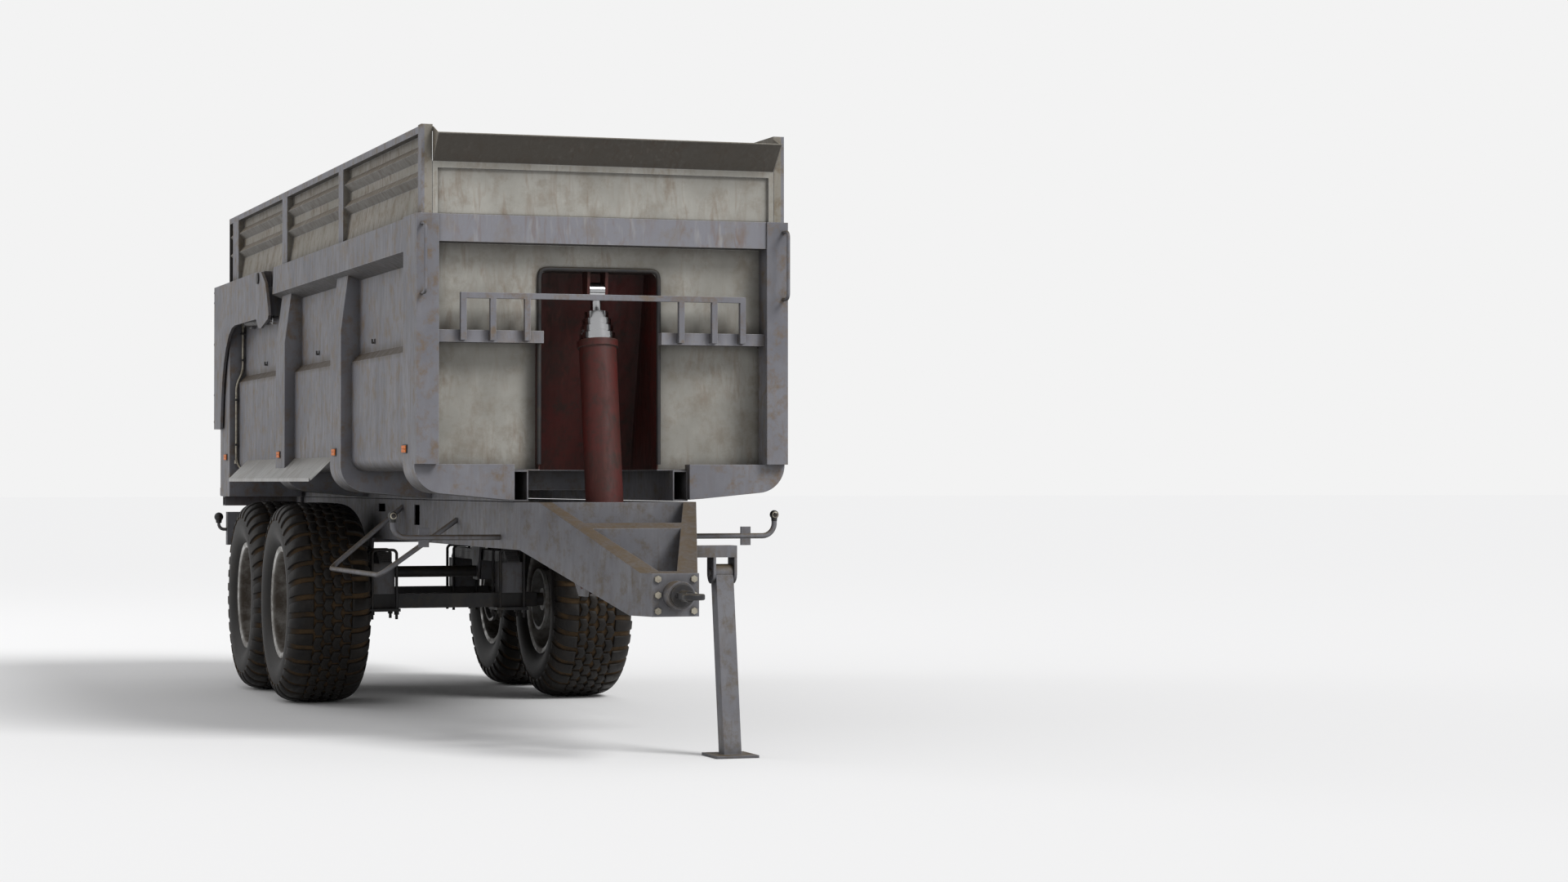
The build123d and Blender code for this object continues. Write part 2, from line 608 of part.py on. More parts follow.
# ---- bogie --------------------------------------------------------------
spring_mid = 450.0
spring_half = 45.0
spring_low = 940.0
leaf = 13.0
leaf_count = 6
pivot_z = 860.0
pivot_radius = 40.0
pedestal = side_plate([(axle_station - 150, rail_under), (axle_station + 150, rail_under),
                       (axle_station + 70, pivot_z - 60), (axle_station - 70, pivot_z - 60)],
                      spring_mid + 52, spring_mid + 68)
pedestal_in = Pos(0, -120, 0) * pedestal
pivot_bore = rod_y(axle_station, pivot_z, 0, half, pivot_radius + running_gap)
keep("bogie_pedestals", [pair(pedestal - pivot_bore), pair(pedestal_in - pivot_bore)])
keep("bogie_shaft", rod_y(axle_station, pivot_z, -rail_outer - 20, rail_outer + 20, pivot_radius))

beam_side = 100.0
leaves = []
for number in range(leaf_count):
    reach_out = axle_spacing / 2 + 150 - number * 16
    z0 = spring_low + number * leaf
    leaves.append(block(axle_station - reach_out, axle_station + reach_out, spring_mid - spring_half,
                        spring_mid + spring_half, z0, z0 + leaf))
spring_top = spring_low + leaf_count * leaf
keep("leaf_packs", [pair(item) for item in leaves])

saddles = [block(axle_station - 95, axle_station + 95, spring_mid - spring_half, spring_mid + spring_half,
                 pivot_z - 58, spring_low) - pivot_bore]
for s in wheel_stations.values():
    saddles.append(block(s - 90, s + 90, spring_mid - 75, spring_mid + 75,
                         wheel_z + beam_side / 2, spring_low))
keep("spring_saddles", [pair(item) for item in saddles])

bolt_span = 85.0
u_bolts = []
for s in wheel_stations.values():
    for shift in (-105.0, 105.0):
        low = wheel_z - 123.0
        high = spring_top + 14.0
        inner_leg = spring_mid - bolt_span
        outer_leg = spring_mid + bolt_span
        route = [(s + shift, inner_leg, low), (s + shift, inner_leg, high),
                 (s + shift, outer_leg, high), (s + shift, outer_leg, low)]
        u_bolts.append(bent_tube(route, 30, 10))
    plate = block(s - 125, s + 125, spring_mid - 110, spring_mid + 110, wheel_z - beam_side / 2 - 20,
                  wheel_z - beam_side / 2)
    for shift in (-105.0, 105.0):
        for y in (-bolt_span, bolt_span):
            clear = rod_z(s + shift, spring_mid + y, wheel_z - 180, wheel_z + 20, 10.5)
            plate = plate - clear
            nut = Pos(at(s + shift), spring_mid + y, wheel_z - beam_side / 2 - 42) * extrude(
                RegularPolygon(18, 6), amount=22)
            u_bolts.append(nut - clear)
    u_bolts.append(plate)
keep("u_bolts", [pair(item) for item in u_bolts])

beam_end = 640.0
stub_end = wheel_centre + 35.0
axles = []
for place, s in wheel_stations.items():
    beam = block(s - beam_side / 2, s + beam_side / 2, -beam_end, beam_end, wheel_z - beam_side / 2,
                 wheel_z + beam_side / 2)
    beam = beam + rod_y(s, wheel_z, -stub_end, stub_end, stub_radius)
    axles.append(beam)
keep("axles", axles)

# ---- wheels -------------------------------------------------------------
rim_radius = rim_diameter / 2
tyre_radius = wheel_diameter / 2
tyre_half = tyre_width / 2
bead = rim_radius + 1.0
flange_radius = rim_radius + 38.0
bulge_radius = (rim_radius + tyre_radius) / 2 + 19.0


def turned(outline):
    # (y, radius) points turned about the wheel's axis
    face = Polygon(*outline, align=None)
    placed = Plane(origin=(0, 0, 0), x_dir=(0, 1, 0), z_dir=(1, 0, 0)) * face
    return revolve(placed, axis=Axis.Y)


tyre_out = [(tyre_half - 64, bead), (tyre_half - 64, flange_radius + 8),
            (tyre_half - 6, flange_radius + 70), (tyre_half, bulge_radius),
            (tyre_half - 14, tyre_radius - 80), (tyre_half - 46, tyre_radius - 26),
            (tyre_half - 100, tyre_radius)]
tyre_in = [(tyre_half - 100, bead), (tyre_half - 80, flange_radius + 20), (tyre_half - 42, flange_radius + 75),
           (tyre_half - 38, bulge_radius), (tyre_half - 60, tyre_radius - 85),
           (tyre_half - 110, tyre_radius - 45)]


def closed(outline_out, outline_in):
    outer = outline_out + [(-y, r) for y, r in reversed(outline_out)]
    inner = outline_in + [(-y, r) for y, r in reversed(outline_in)]
    return turned(outer) - turned(inner)


tyre_hole = Rot(90, 0, 0) * Cylinder(bead, tyre_width)
tyre = closed(tyre_out, tyre_in) - tyre_hole

disc_y = -50.0
disc_half = 7.0
disc_bore = 112.0
seat = tyre_half - 62.0
rim_inner = rim_radius - 12.0
rim_outline = [(-seat, rim_radius), (-seat, flange_radius), (-seat - 10, flange_radius),
               (-seat - 10, rim_inner), (seat + 10, rim_inner), (seat + 10, flange_radius),
               (seat, flange_radius), (seat, rim_radius)]
disc = Pos(0, disc_y, 0) * Rot(90, 0, 0) * (Cylinder(rim_radius - 8, 2 * disc_half) - Cylinder(disc_bore, 40))
rim = turned(rim_outline) + disc

drum_radius = 205.0
flange_thick = 16.0
hub_back = disc_y - disc_half
drum = Pos(0, hub_back - 95, 0) * Rot(90, 0, 0) * Cylinder(drum_radius, 190)
drum_room = Cylinder(drum_radius - 12, 180) - Cylinder(80, 200)
drum = drum - Pos(0, hub_back - 110, 0) * Rot(90, 0, 0) * drum_room
boss = Pos(0, hub_back + 50, 0) * Rot(90, 0, 0) * Cylinder(disc_bore - 5, 100)
cap = Pos(0, hub_back + 112, 0) * Rot(90, 0, 0) * Cylinder(72, 26)
hub_bore = Rot(90, 0, 0) * Cylinder(stub_radius + running_gap, 2 * (stub_end - wheel_centre))
hub_bore = hub_bore + Pos(0, -200, 0) * Rot(90, 0, 0) * Cylinder(stub_radius + running_gap, 400)
nut_circle = 165.0
nut_count = 10
nuts = []
for number in range(nut_count):
    angle = 2 * math.pi * number / nut_count
    nut = Pos(nut_circle * math.cos(angle), disc_y + disc_half + 24, nut_circle * math.sin(angle))
    nuts.append(nut * Rot(90, 0, 0) * extrude(RegularPolygon(17, 6), amount=24))
hub = drum + boss + cap - hub_bore
hub_set = [hub] + nuts

for place, s in wheel_stations.items():
    for side, sign in (("right", -1), ("left", 1)):
        spot = Pos(at(s), sign * wheel_centre, wheel_z)
        for name, item in (("tyre", tyre), ("rim", rim), ("hub", hub_set)):
            pieces = solids_of(item)
            if sign < 0:
                pieces = [mirrored(piece) for piece in pieces]
            keep(f"{name}_{place}_{side}", [spot * piece for piece in pieces])

# ---- tailgate -----------------------------------------------------------
gate_half = half - 15.0
gate_low = rail_top + 10
gate_back = gate_face + gate_depth
plate_back = gate_face + sheet
chute_half = chute_width / 2
chute_low = gate_low + 110
chute_high = chute_low + chute_height
post_pitch = (340.0, 700.0, gate_half - 60)
gate = block(gate_face, plate_back, -gate_half, gate_half, gate_low, body_top)
gate = gate - block(gate_face - 1, plate_back + 1, -chute_half, chute_half, chute_low, chute_high)
for y in post_pitch:
    stud = block(plate_back, gate_back - 40, y, y + 60, gate_low, body_top)
    gate = joined(gate, stud, mirrored(stud))
for z in (gate_low, body_top - 60, 2430.0):
    gate = gate + block(plate_back, gate_back - 20, -gate_half, gate_half, z, z + 60)
waist = block(plate_back, gate_back - 30, 400, gate_half, 1900, 1960)
gate = joined(gate, waist, mirrored(waist))
keep("tailgate_panel", gate)

arm_face = half + 10.0
arm_thick = 20.0
pivot_station = belt_end + 460
door_pivot_z = 2950.0
pin_radius = 25.0
arm_foot = 1905.0
arm_nose = [(90, body_top), (-110, 2990), (-290, 2900), (-410, 2720), (-425, 2670), (-390, 2640),
            (-350, 2636), (-100, 2590), (10, 2600), (100, 2665)]
arm_sweep = [(994, 2665), (844, 2650), (704, 2600), (574, 2510), (474, 2400), (394, 2255),
             (344, 2090), (314, arm_foot)]
arm_outline = [(gate_back, body_top)] + [(pivot_station + shift, z) for shift, z in arm_nose]
arm_outline = arm_outline + [(gate_back - shift, z) for shift, z in arm_sweep] + [(gate_back, arm_foot)]
arm_plate = side_plate(arm_outline, arm_face, arm_face + arm_thick)
arm_root = block(gate_face + 16, gate_back, gate_half, arm_face, arm_foot, body_top)
ram_pin_station = pivot_station - 200
ram_pin_z = 2645.0
lug = rod_y(ram_pin_station, ram_pin_z, half - 15, arm_face, 34)
door_bore = rod_y(pivot_station, door_pivot_z, 0, half + 100, pin_radius + running_gap)
keep("tailgate_arms", pair(joined(arm_plate, arm_root, lug) - door_bore))

guide_top = chute_high + chute_height + 25
guide = block(plate_back, plate_back + 18, chute_half + 12, chute_half + 40, chute_low - 30, guide_top)
guide = guide - block(plate_back - 1, plate_back + 9, chute_half + 11, chute_half + 30,
                      chute_low - 40, guide_top + 10)
lip = side_plate([(plate_back, chute_low - 12), (gate_back + lip_out, chute_low - 46),
                  (gate_back + lip_out, chute_low - 41), (plate_back, chute_low - 6)],
                 -chute_half - 40, chute_half + 40)
under = block(plate_back, plate_back + 8, -chute_half - 40, chute_half + 40, chute_low - 40, chute_low - 8)
keep("chute_frame", joined(guide, mirrored(guide), lip, under))

slide_play = 1.0
slide = block(plate_back + slide_play, plate_back + slide_play + sheet, -chute_half - 25, chute_half + 25,
              chute_low - 5, chute_high + 25)
handle_low = chute_low + 280
handle_end = block(plate_back + 7, plate_back + 60, -90, -78, handle_low, handle_low + 20)
handle_grip = block(plate_back + 48, plate_back + 60, -90, 90, handle_low, handle_low + 20)
handle = joined(handle_end, mirrored(handle_end), handle_grip)
keep("chute_slide", slide + handle)

# door hinge carriers on the body, and their pins
carrier_front = belt_end + belt_slant + 5
door_carrier = block(carrier_front, pivot_station + 90, panel_upper, half - 50, body_top - 100, body_top)
door_boss = block(pivot_station - 70, pivot_station + 90, half - 50, half, body_top - 110, body_top)
door_carrier = door_carrier + door_boss
door_ram_station = pivot_station + 1000
door_ram_z = 2690.0
door_ram_y = half - 56.0
clevis = block(door_ram_station - 30, door_ram_station + 60, panel_upper, door_ram_y - 26, door_ram_z - 50,
               door_ram_z + 50)
clevis_bore = rod_y(door_ram_station, door_ram_z, 0, half, 20 + running_gap)
keep("hinge_lugs", [tip_lugs, pair(door_carrier - door_bore), pair(clevis - clevis_bore)])
door_pin = rod_y(pivot_station, door_pivot_z, half - 90, arm_face + arm_thick + 4, pin_radius)
door_pin = door_pin + rod_y(pivot_station, door_pivot_z, arm_face + arm_thick + 1, arm_face + arm_thick + 11,
                            pin_radius + 14)
keep("hinge_pins", [pair(tip_pin), pair(door_pin)])

# door rams: barrel on the body, rod pulling the arm's lug rearwards
reach_x = door_ram_station - ram_pin_station
reach_z = ram_pin_z - door_ram_z
door_ram_length = math.hypot(reach_x, reach_z)
door_ram_tilt = math.degrees(math.atan2(reach_z, reach_x))
ram_tube = 34.0
rod_radius = 18.0
tube_length = 640.0
lay = Pos(at(door_ram_station), door_ram_y, door_ram_z) * Rot(0, -door_ram_tilt, 0) * Rot(0, 90, 0)
tube = Pos(0, 0, tube_length / 2 + 36) * Cylinder(ram_tube, tube_length)
tube_eye = Rot(90, 0, 0) * Cylinder(38, 50)
tube_pin = Pos(0, -38, 0) * Rot(90, 0, 0) * Cylinder(20, 28)
tube_bore = Pos(0, 0, tube_length / 2 + 60) * Cylinder(rod_radius + slide_gap, tube_length)
door_barrel = joined(tube, tube_eye, tube_pin) - tube_bore
rod_start = 545.0
door_rod = Pos(0, 0, (rod_start + door_ram_length) / 2) * Cylinder(rod_radius, door_ram_length - rod_start)
rod_eye = Pos(0, 0, door_ram_length) * Rot(90, 0, 0) * Cylinder(32, 40)
rod_pin = Pos(0, 30, door_ram_length) * Rot(90, 0, 0) * Cylinder(16, 20)
door_rod = joined(door_rod, rod_eye, rod_pin)
for side, sign in (("right", -1), ("left", 1)):
    for name, item in (("door_ram_barrel", door_barrel), ("door_ram_rod", door_rod)):
        placed = lay * item
        keep(f"{name}_{side}", placed if sign > 0 else mirrored(placed))


# ---- motion, for whoever drives the joints ------------------------------
def turned_back(station, z, centre, centre_z, degrees):
    # a point after the front of the body is raised about a hinge
    angle = math.radians(degrees)
    dx = centre - station
    dz = z - centre_z
    return (centre - (dx * math.cos(angle) - dz * math.sin(angle)),
            centre_z + dx * math.sin(angle) + dz * math.cos(angle))


top_s, top_h = turned_back(ram_top_station, ram_top_z, tip_station, rail_mid, tip_angle)
ram_full = math.hypot(top_s - ram_foot_station, top_h - ram_foot_z)
ram_full_tilt = math.degrees(math.atan2(top_s - ram_foot_station, top_h - ram_foot_z))
lug_s, lug_h = turned_back(ram_pin_station, ram_pin_z, pivot_station, door_pivot_z, -door_angle)
door_ram_short = math.hypot(door_ram_station - lug_s, lug_h - door_ram_z)
door_ram_swing = math.degrees(math.atan2(lug_h - door_ram_z, door_ram_station - lug_s)) - door_ram_tilt
motion = {
    "ram_stroke": ram_full - ram_length, "ram_swing": ram_full_tilt - ram_tilt,
    "door_stroke": door_ram_length - door_ram_short, "door_ram_swing": door_ram_swing,
}

if __name__ == "__main__":
    os.makedirs("parts", exist_ok=True)
    for name, item in nodes.items():
        export_step(item, f"parts/{name}.step")
    print(len(nodes), "nodes;", {key: round(value, 2) for key, value in motion.items()})
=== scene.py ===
import bpy
import bmesh
import json
import math
from mathutils import Matrix, Vector


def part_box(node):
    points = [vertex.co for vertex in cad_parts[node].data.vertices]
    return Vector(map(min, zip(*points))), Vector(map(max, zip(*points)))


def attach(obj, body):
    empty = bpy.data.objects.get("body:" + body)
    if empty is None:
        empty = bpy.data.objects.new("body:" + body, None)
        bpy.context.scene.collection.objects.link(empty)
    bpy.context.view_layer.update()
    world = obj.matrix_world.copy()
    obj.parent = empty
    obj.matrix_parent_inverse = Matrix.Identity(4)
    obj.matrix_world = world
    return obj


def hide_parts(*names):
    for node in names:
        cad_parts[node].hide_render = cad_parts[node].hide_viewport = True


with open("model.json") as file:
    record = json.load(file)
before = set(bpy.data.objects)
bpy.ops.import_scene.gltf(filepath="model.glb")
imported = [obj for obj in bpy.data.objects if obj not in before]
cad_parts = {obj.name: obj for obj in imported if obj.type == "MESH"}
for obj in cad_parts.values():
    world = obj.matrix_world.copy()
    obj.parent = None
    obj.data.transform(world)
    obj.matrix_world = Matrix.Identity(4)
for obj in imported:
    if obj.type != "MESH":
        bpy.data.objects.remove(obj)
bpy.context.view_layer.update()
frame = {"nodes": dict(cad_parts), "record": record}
nodes = frame["nodes"]

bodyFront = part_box("body_posts")[1].x          # front face of the body
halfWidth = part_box("side_belts")[1].y          # outer face of the side belts
panelUpper = halfWidth - 0.117                 # upper side panel
panelLower = halfWidth - 0.068                 # lower side panel
sides = {"right": -1, "left": 1}


def at(station):
    return bodyFront - station                 # stations count backwards from the body's front face


# ---- camera, floor and lights ----
viewSettings = {"place": (20.2685, -4.909, 1.5), "ahead": (-0.9465, 0.3228), "pitch": 0.7345,
                "lens": 73.125, "sensor": 36.0}
studioSettings = {"floorSize": 600.0, "floorHex": "f2f2f2", "ambientHex": "f4f4f5", "ambient": 0.60,
                  "backdropHex": "f3f3f3", "keyFrom": (0.62, 0.42, 0.66), "keySpread": 24.0,
                  "keyStrength": 2.1, "fillPlace": (-13.0, -15.0, 10.0), "fillSize": 10.0,
                  "fillPower": 500.0, "aim": (0.0, 0.0, 1.6)}


def linear(hexText):
    # sRGB hex to linear colour with full alpha
    parts = [int(hexText[i:i + 2], 16) / 255 for i in (0, 2, 4)]
    return tuple(p / 12.92 if p <= 0.04045 else ((p + 0.055) / 1.055) ** 2.4 for p in parts) + (1.0,)


def addNode(tree, kind, inputs=None, **settings):
    # kinds of shader node are given without their "ShaderNode"
    node = tree.nodes.new("ShaderNode" + kind if tree.type == "SHADER" else kind)
    for name, value in settings.items():
        setattr(node, name, value)
    for name, value in (inputs or {}).items():
        if isinstance(value, bpy.types.NodeSocket):
            tree.links.new(value, node.inputs[name])
        else:
            node.inputs[name].default_value = value
    return node


def makeCamera(settings):
    data = bpy.data.cameras.new("viewCamera")
    data.lens = settings["lens"]
    data.sensor_width = settings["sensor"]
    camera = bpy.data.objects.new("viewCamera", data)
    bpy.context.scene.collection.objects.link(camera)
    ahead = Vector((*settings["ahead"], math.tan(math.radians(settings["pitch"]))))
    camera.location = settings["place"]
    camera.rotation_euler = ahead.to_track_quat("-Z", "Y").to_euler()
    bpy.context.scene.camera = camera


def makeLight(kind, name, place, aim, **look):
    data = bpy.data.lights.new(name, kind)
    for setting, value in look.items():
        setattr(data, setting, value)
    light = bpy.data.objects.new(name, data)
    bpy.context.scene.collection.objects.link(light)
    light.location = place
    light.rotation_euler = (Vector(aim) - Vector(place)).to_track_quat("-Z", "Y").to_euler()


def makeStudio(settings):
    scene = bpy.context.scene
    scene.view_settings.view_transform = "Standard"
    world = bpy.data.worlds.new("studio")
    world.use_nodes = True
    tree = world.node_tree
    tree.nodes.clear()
    ambient = addNode(tree, "Background", {"Color": linear(settings["ambientHex"]),
                                           "Strength": settings["ambient"]})
    backdrop = addNode(tree, "Background", {"Color": linear(settings["backdropHex"])})
    seen = addNode(tree, "LightPath").outputs["Is Camera Ray"]
    both = addNode(tree, "MixShader", {0: seen, 1: ambient.outputs[0], 2: backdrop.outputs[0]})
    addNode(tree, "OutputWorld", {"Surface": both.outputs[0]})
    scene.world = world
    makeLight("SUN", "keyLight", settings["keyFrom"], (0, 0, 0), energy=settings["keyStrength"],
              angle=math.radians(settings["keySpread"]))
    makeLight("AREA", "fillLight", settings["fillPlace"], settings["aim"], shape="DISK",
              size=settings["fillSize"], energy=settings["fillPower"])
    bm = bmesh.new()
    bmesh.ops.create_grid(bm, x_segments=1, y_segments=1, size=settings["floorSize"] / 2)
    mesh = bpy.data.meshes.new("studioFloor")
    bm.to_mesh(mesh)
    bm.free()
    floor = bpy.data.objects.new("studioFloor", mesh)
    scene.collection.objects.link(floor)
    paper = bpy.data.materials.new("backdrop paper, matt")
    paper.use_nodes = True
    shader = paper.node_tree.nodes["Principled BSDF"]
    shader.inputs["Base Color"].default_value = linear(settings["floorHex"])
    shader.inputs["Roughness"].default_value = 1.0
    shader.inputs["Specular IOR Level"].default_value = 0.0
    mesh.materials.append(paper)


makeCamera(viewSettings)
makeStudio(studioSettings)
print("camera and studio ready")


# ---- materials ----
def perMetre(millimetres):
    return 1000.0 / millimetres                # noise scale for features of that size


def startMaterial(name):
    material = bpy.data.materials.new(name)
    material.use_nodes = True
    tree = material.node_tree
    shader = tree.nodes["Principled BSDF"]
    place = addNode(tree, "TexCoord")
    return material, tree, shader, place


def enamel(name, look):
    # two-pack enamel sprayed on folded steel sheet: a slightly chalky coat with orange peel, brown stains and
    # rain-washed dirt on it, dust on what faces up, painted shade with some grime in the corners and on what
    # faces down, and edges where the coat has rubbed thin
    material, tree, shader, place = startMaterial(name)
    spot = place.outputs["Object"]
    cloud = addNode(tree, "TexNoise", {"Vector": spot, "Scale": perMetre(look["cloudMm"]), "Detail": 5.0,
                                       "Roughness": 0.6}).outputs[0]
    drawn = addNode(tree, "Mapping", {"Vector": spot, "Scale": (1.0, 1.0, look["streakDraw"])}).outputs[0]
    streak = addNode(tree, "TexNoise", {"Vector": drawn, "Scale": perMetre(look["streakMm"]),
                                        "Detail": 3.0, "Roughness": 0.6, "Distortion": 1.2}).outputs[0]
    speck = addNode(tree, "TexNoise", {"Vector": spot, "Scale": perMetre(look["speckMm"]), "Detail": 3.0,
                                       "Roughness": 0.7}).outputs[0]
    tone = addNode(tree, "MapRange", {0: cloud, 1: 0.34, 2: 0.66, 3: 0.0, 4: 1.0}).outputs[0]
    paint = addNode(tree, "Mix", {0: tone, 6: linear(look["baseHex"]), 7: linear(look["secondHex"])},
                    data_type="RGBA").outputs[2]
    if "proudFrom" in look:
        # what stands beyond this plane has another coat
        along = addNode(tree, "SeparateXYZ", {0: spot}).outputs[look["proudAxis"]]
        along = addNode(tree, "Math", {0: along}, operation="ABSOLUTE").outputs[0]
        proud = addNode(tree, "Math", {0: along, 1: look["proudFrom"]}, operation="GREATER_THAN").outputs[0]
        paint = addNode(tree, "Mix", {0: proud, 6: paint, 7: linear(look["proudHex"])},
                        data_type="RGBA").outputs[2]
    grain = addNode(tree, "TexNoise", {"Vector": spot, "Scale": perMetre(look["grimeMm"]), "Detail": 9.0,
                                       "Roughness": 0.72}).outputs[0]
    grime = addNode(tree, "MapRange", {0: grain, 1: 0.49, 2: 0.64, 3: 0.0, 4: look["grimeAmount"]}).outputs[0]
    paint = addNode(tree, "Mix", {0: grime, 6: paint, 7: linear(look["grimeHex"])},
                    data_type="RGBA").outputs[2]
    runs = addNode(tree, "MapRange", {0: streak, 1: 0.5, 2: 0.72, 3: 0.0, 4: look["streakAmount"]}).outputs[0]
    patches = addNode(tree, "MapRange", {0: cloud, 1: 0.42, 2: 0.62, 3: 0.05, 4: 1.0}).outputs[0]
    runs = addNode(tree, "Math", {0: runs, 1: patches}, operation="MULTIPLY").outputs[0]
    stained = addNode(tree, "Mix", {0: runs, 6: paint, 7: linear(look["dirtHex"])},
                      data_type="RGBA").outputs[2]
    pale = addNode(tree, "TexNoise", {"Vector": drawn, "Scale": perMetre(look["streakMm"] * 0.45),
                                      "Detail": 1.0}).outputs[0]
    pale = addNode(tree, "MapRange", {0: pale, 1: 0.56, 2: 0.75, 3: 0.0, 4: look["washAmount"]}).outputs[0]
    pale = addNode(tree, "Math", {0: pale, 1: patches}, operation="MULTIPLY").outputs[0]
    washed = addNode(tree, "Mix", {0: pale, 6: stained, 7: linear(look["washHex"])},
                     data_type="RGBA").outputs[2]
    if "bandFrom" in look:
        # soil that stays on the ledge and spreads a little above and below it
        height = addNode(tree, "SeparateXYZ", {0: spot}).outputs[2]
        below = addNode(tree, "MapRange", {0: height, 1: look["bandFrom"] - 0.03, 2: look["bandFrom"] + 0.01,
                                           3: 0.0, 4: 1.0}).outputs[0]
        above = addNode(tree, "MapRange", {0: height, 1: look["bandTo"], 2: look["bandTo"] + 0.05, 3: 1.0,
                                           4: 0.0}).outputs[0]
        band = addNode(tree, "Math", {0: below, 1: above}, operation="MULTIPLY").outputs[0]
        uneven = addNode(tree, "MapRange", {0: grain, 1: 0.32, 2: 0.6, 3: 0.35, 4: 0.95}).outputs[0]
        band = addNode(tree, "Math", {0: band, 1: uneven}, operation="MULTIPLY").outputs[0]
        washed = addNode(tree, "Mix", {0: band, 6: washed, 7: linear(look["bandHex"])},
                         data_type="RGBA").outputs[2]
    # painted shade: ambient occlusion darkens corners, recesses and gaps between parts towards near-black,
    # partly crevice grime
    corner = addNode(tree, "AmbientOcclusion", {"Distance": look["cornerShadeMm"] * 0.001},
                     samples=6).outputs["AO"]
    corner = addNode(tree, "MapRange", {0: corner, 1: 0.45, 2: 0.95, 3: look["cornerShadeAmount"],
                                        4: 0.0}).outputs[0]
    washed = addNode(tree, "Mix", {0: corner, 6: washed, 7: linear(look["shadeAndGrimeHex"])},
                     data_type="RGBA").outputs[2]
    up = addNode(tree, "SeparateXYZ", {0: place.outputs["Normal"]}).outputs[2]
    # painted shade: faces that point down are darkened towards near-black, partly road dirt
    undersideShade = addNode(tree, "MapRange", {0: up, 1: -0.25, 2: -0.8, 3: 0.0, 4: look["undersideShadeAmount"]}).outputs[0]
    washed = addNode(tree, "Mix", {0: undersideShade, 6: washed, 7: linear(look["shadeAndGrimeHex"])},
                     data_type="RGBA").outputs[2]
    lying = addNode(tree, "MapRange", {0: up, 1: 0.2, 2: 0.75, 3: 0.0, 4: look["dustAmount"]}).outputs[0]
    settled = addNode(tree, "MapRange", {0: streak, 1: 0.3, 2: 0.6, 3: 0.45, 4: 1.0}).outputs[0]
    lying = addNode(tree, "Math", {0: lying, 1: settled}, operation="MULTIPLY").outputs[0]
    dusty = addNode(tree, "Mix", {0: lying, 6: washed, 7: linear(look["dustHex"])},
                    data_type="RGBA").outputs[2]
    rounded = addNode(tree, "Bevel", {"Radius": look["edgeMm"] * 0.001}, samples=4).outputs[0]
    flat = addNode(tree, "NewGeometry").outputs["Normal"]
    facing = addNode(tree, "VectorMath", {0: rounded, 1: flat}, operation="DOT_PRODUCT").outputs["Value"]
    rubbed = addNode(tree, "MapRange", {0: facing, 1: 0.99, 2: 0.88, 3: 0.0, 4: 1.0}).outputs[0]
    patchy = addNode(tree, "MapRange", {0: speck, 1: 0.38, 2: 0.6, 3: 0.15, 4: look["wearAmount"]}).outputs[0]
    rubbed = addNode(tree, "Math", {0: rubbed, 1: patchy}, operation="MULTIPLY").outputs[0]
    worn = addNode(tree, "Mix", {0: rubbed, 6: dusty, 7: linear(look["wearHex"])},
                   data_type="RGBA").outputs[2]
    chip = addNode(tree, "MapRange", {0: speck, 1: 0.69, 2: 0.73, 3: 0.0, 4: look["chipAmount"]}).outputs[0]
    chipped = addNode(tree, "Mix", {0: chip, 6: worn, 7: linear(look["chipHex"])},
                      data_type="RGBA").outputs[2]
    tree.links.new(chipped, shader.inputs["Base Color"])
    gloss = addNode(tree, "MapRange", {0: streak, 1: 0.3, 2: 0.7, 3: look["roughness"] - 0.08,
                                       4: look["roughness"] + 0.12}).outputs[0]
    tree.links.new(gloss, shader.inputs["Roughness"])
    shader.inputs["Specular IOR Level"].default_value = look["specular"]
    peel = addNode(tree, "TexNoise", {"Vector": spot, "Scale": perMetre(5.0), "Detail": 2.0}).outputs[0]
    wave = addNode(tree, "Bump", {"Height": cloud, "Distance": look["waveMm"] * 0.001, "Strength": 0.6,
                                  "Normal": rounded}).outputs[0]
    skin = addNode(tree, "Bump", {"Height": peel, "Distance": 0.0006, "Strength": 0.35,
                                  "Normal": wave}).outputs[0]
    tree.links.new(skin, shader.inputs["Normal"])
    return material


coatBase = {"cloudMm": 480.0, "streakMm": 58.0, "streakDraw": 0.2, "speckMm": 7.0, "streakAmount": 0.34,
            "washAmount": 0.2, "dustAmount": 0.85, "wearAmount": 0.6, "chipAmount": 0.5, "roughness": 0.5,
            "specular": 0.4, "cornerShadeMm": 90.0, "cornerShadeAmount": 0.6, "undersideShadeAmount": 0.85, "edgeMm": 6.0,
            "waveMm": 7.0, "grimeMm": 105.0, "grimeAmount": 0.72, "baseHex": "626268", "secondHex": "727277",
            "grimeHex": "65533b", "dirtHex": "64503a", "washHex": "85858a", "dustHex": "5d4f3b",
            "wearHex": "a9a9ae", "chipHex": "57493c", "shadeAndGrimeHex": "2d2a28"}


def coat(**changes):
    return {**coatBase, **changes}


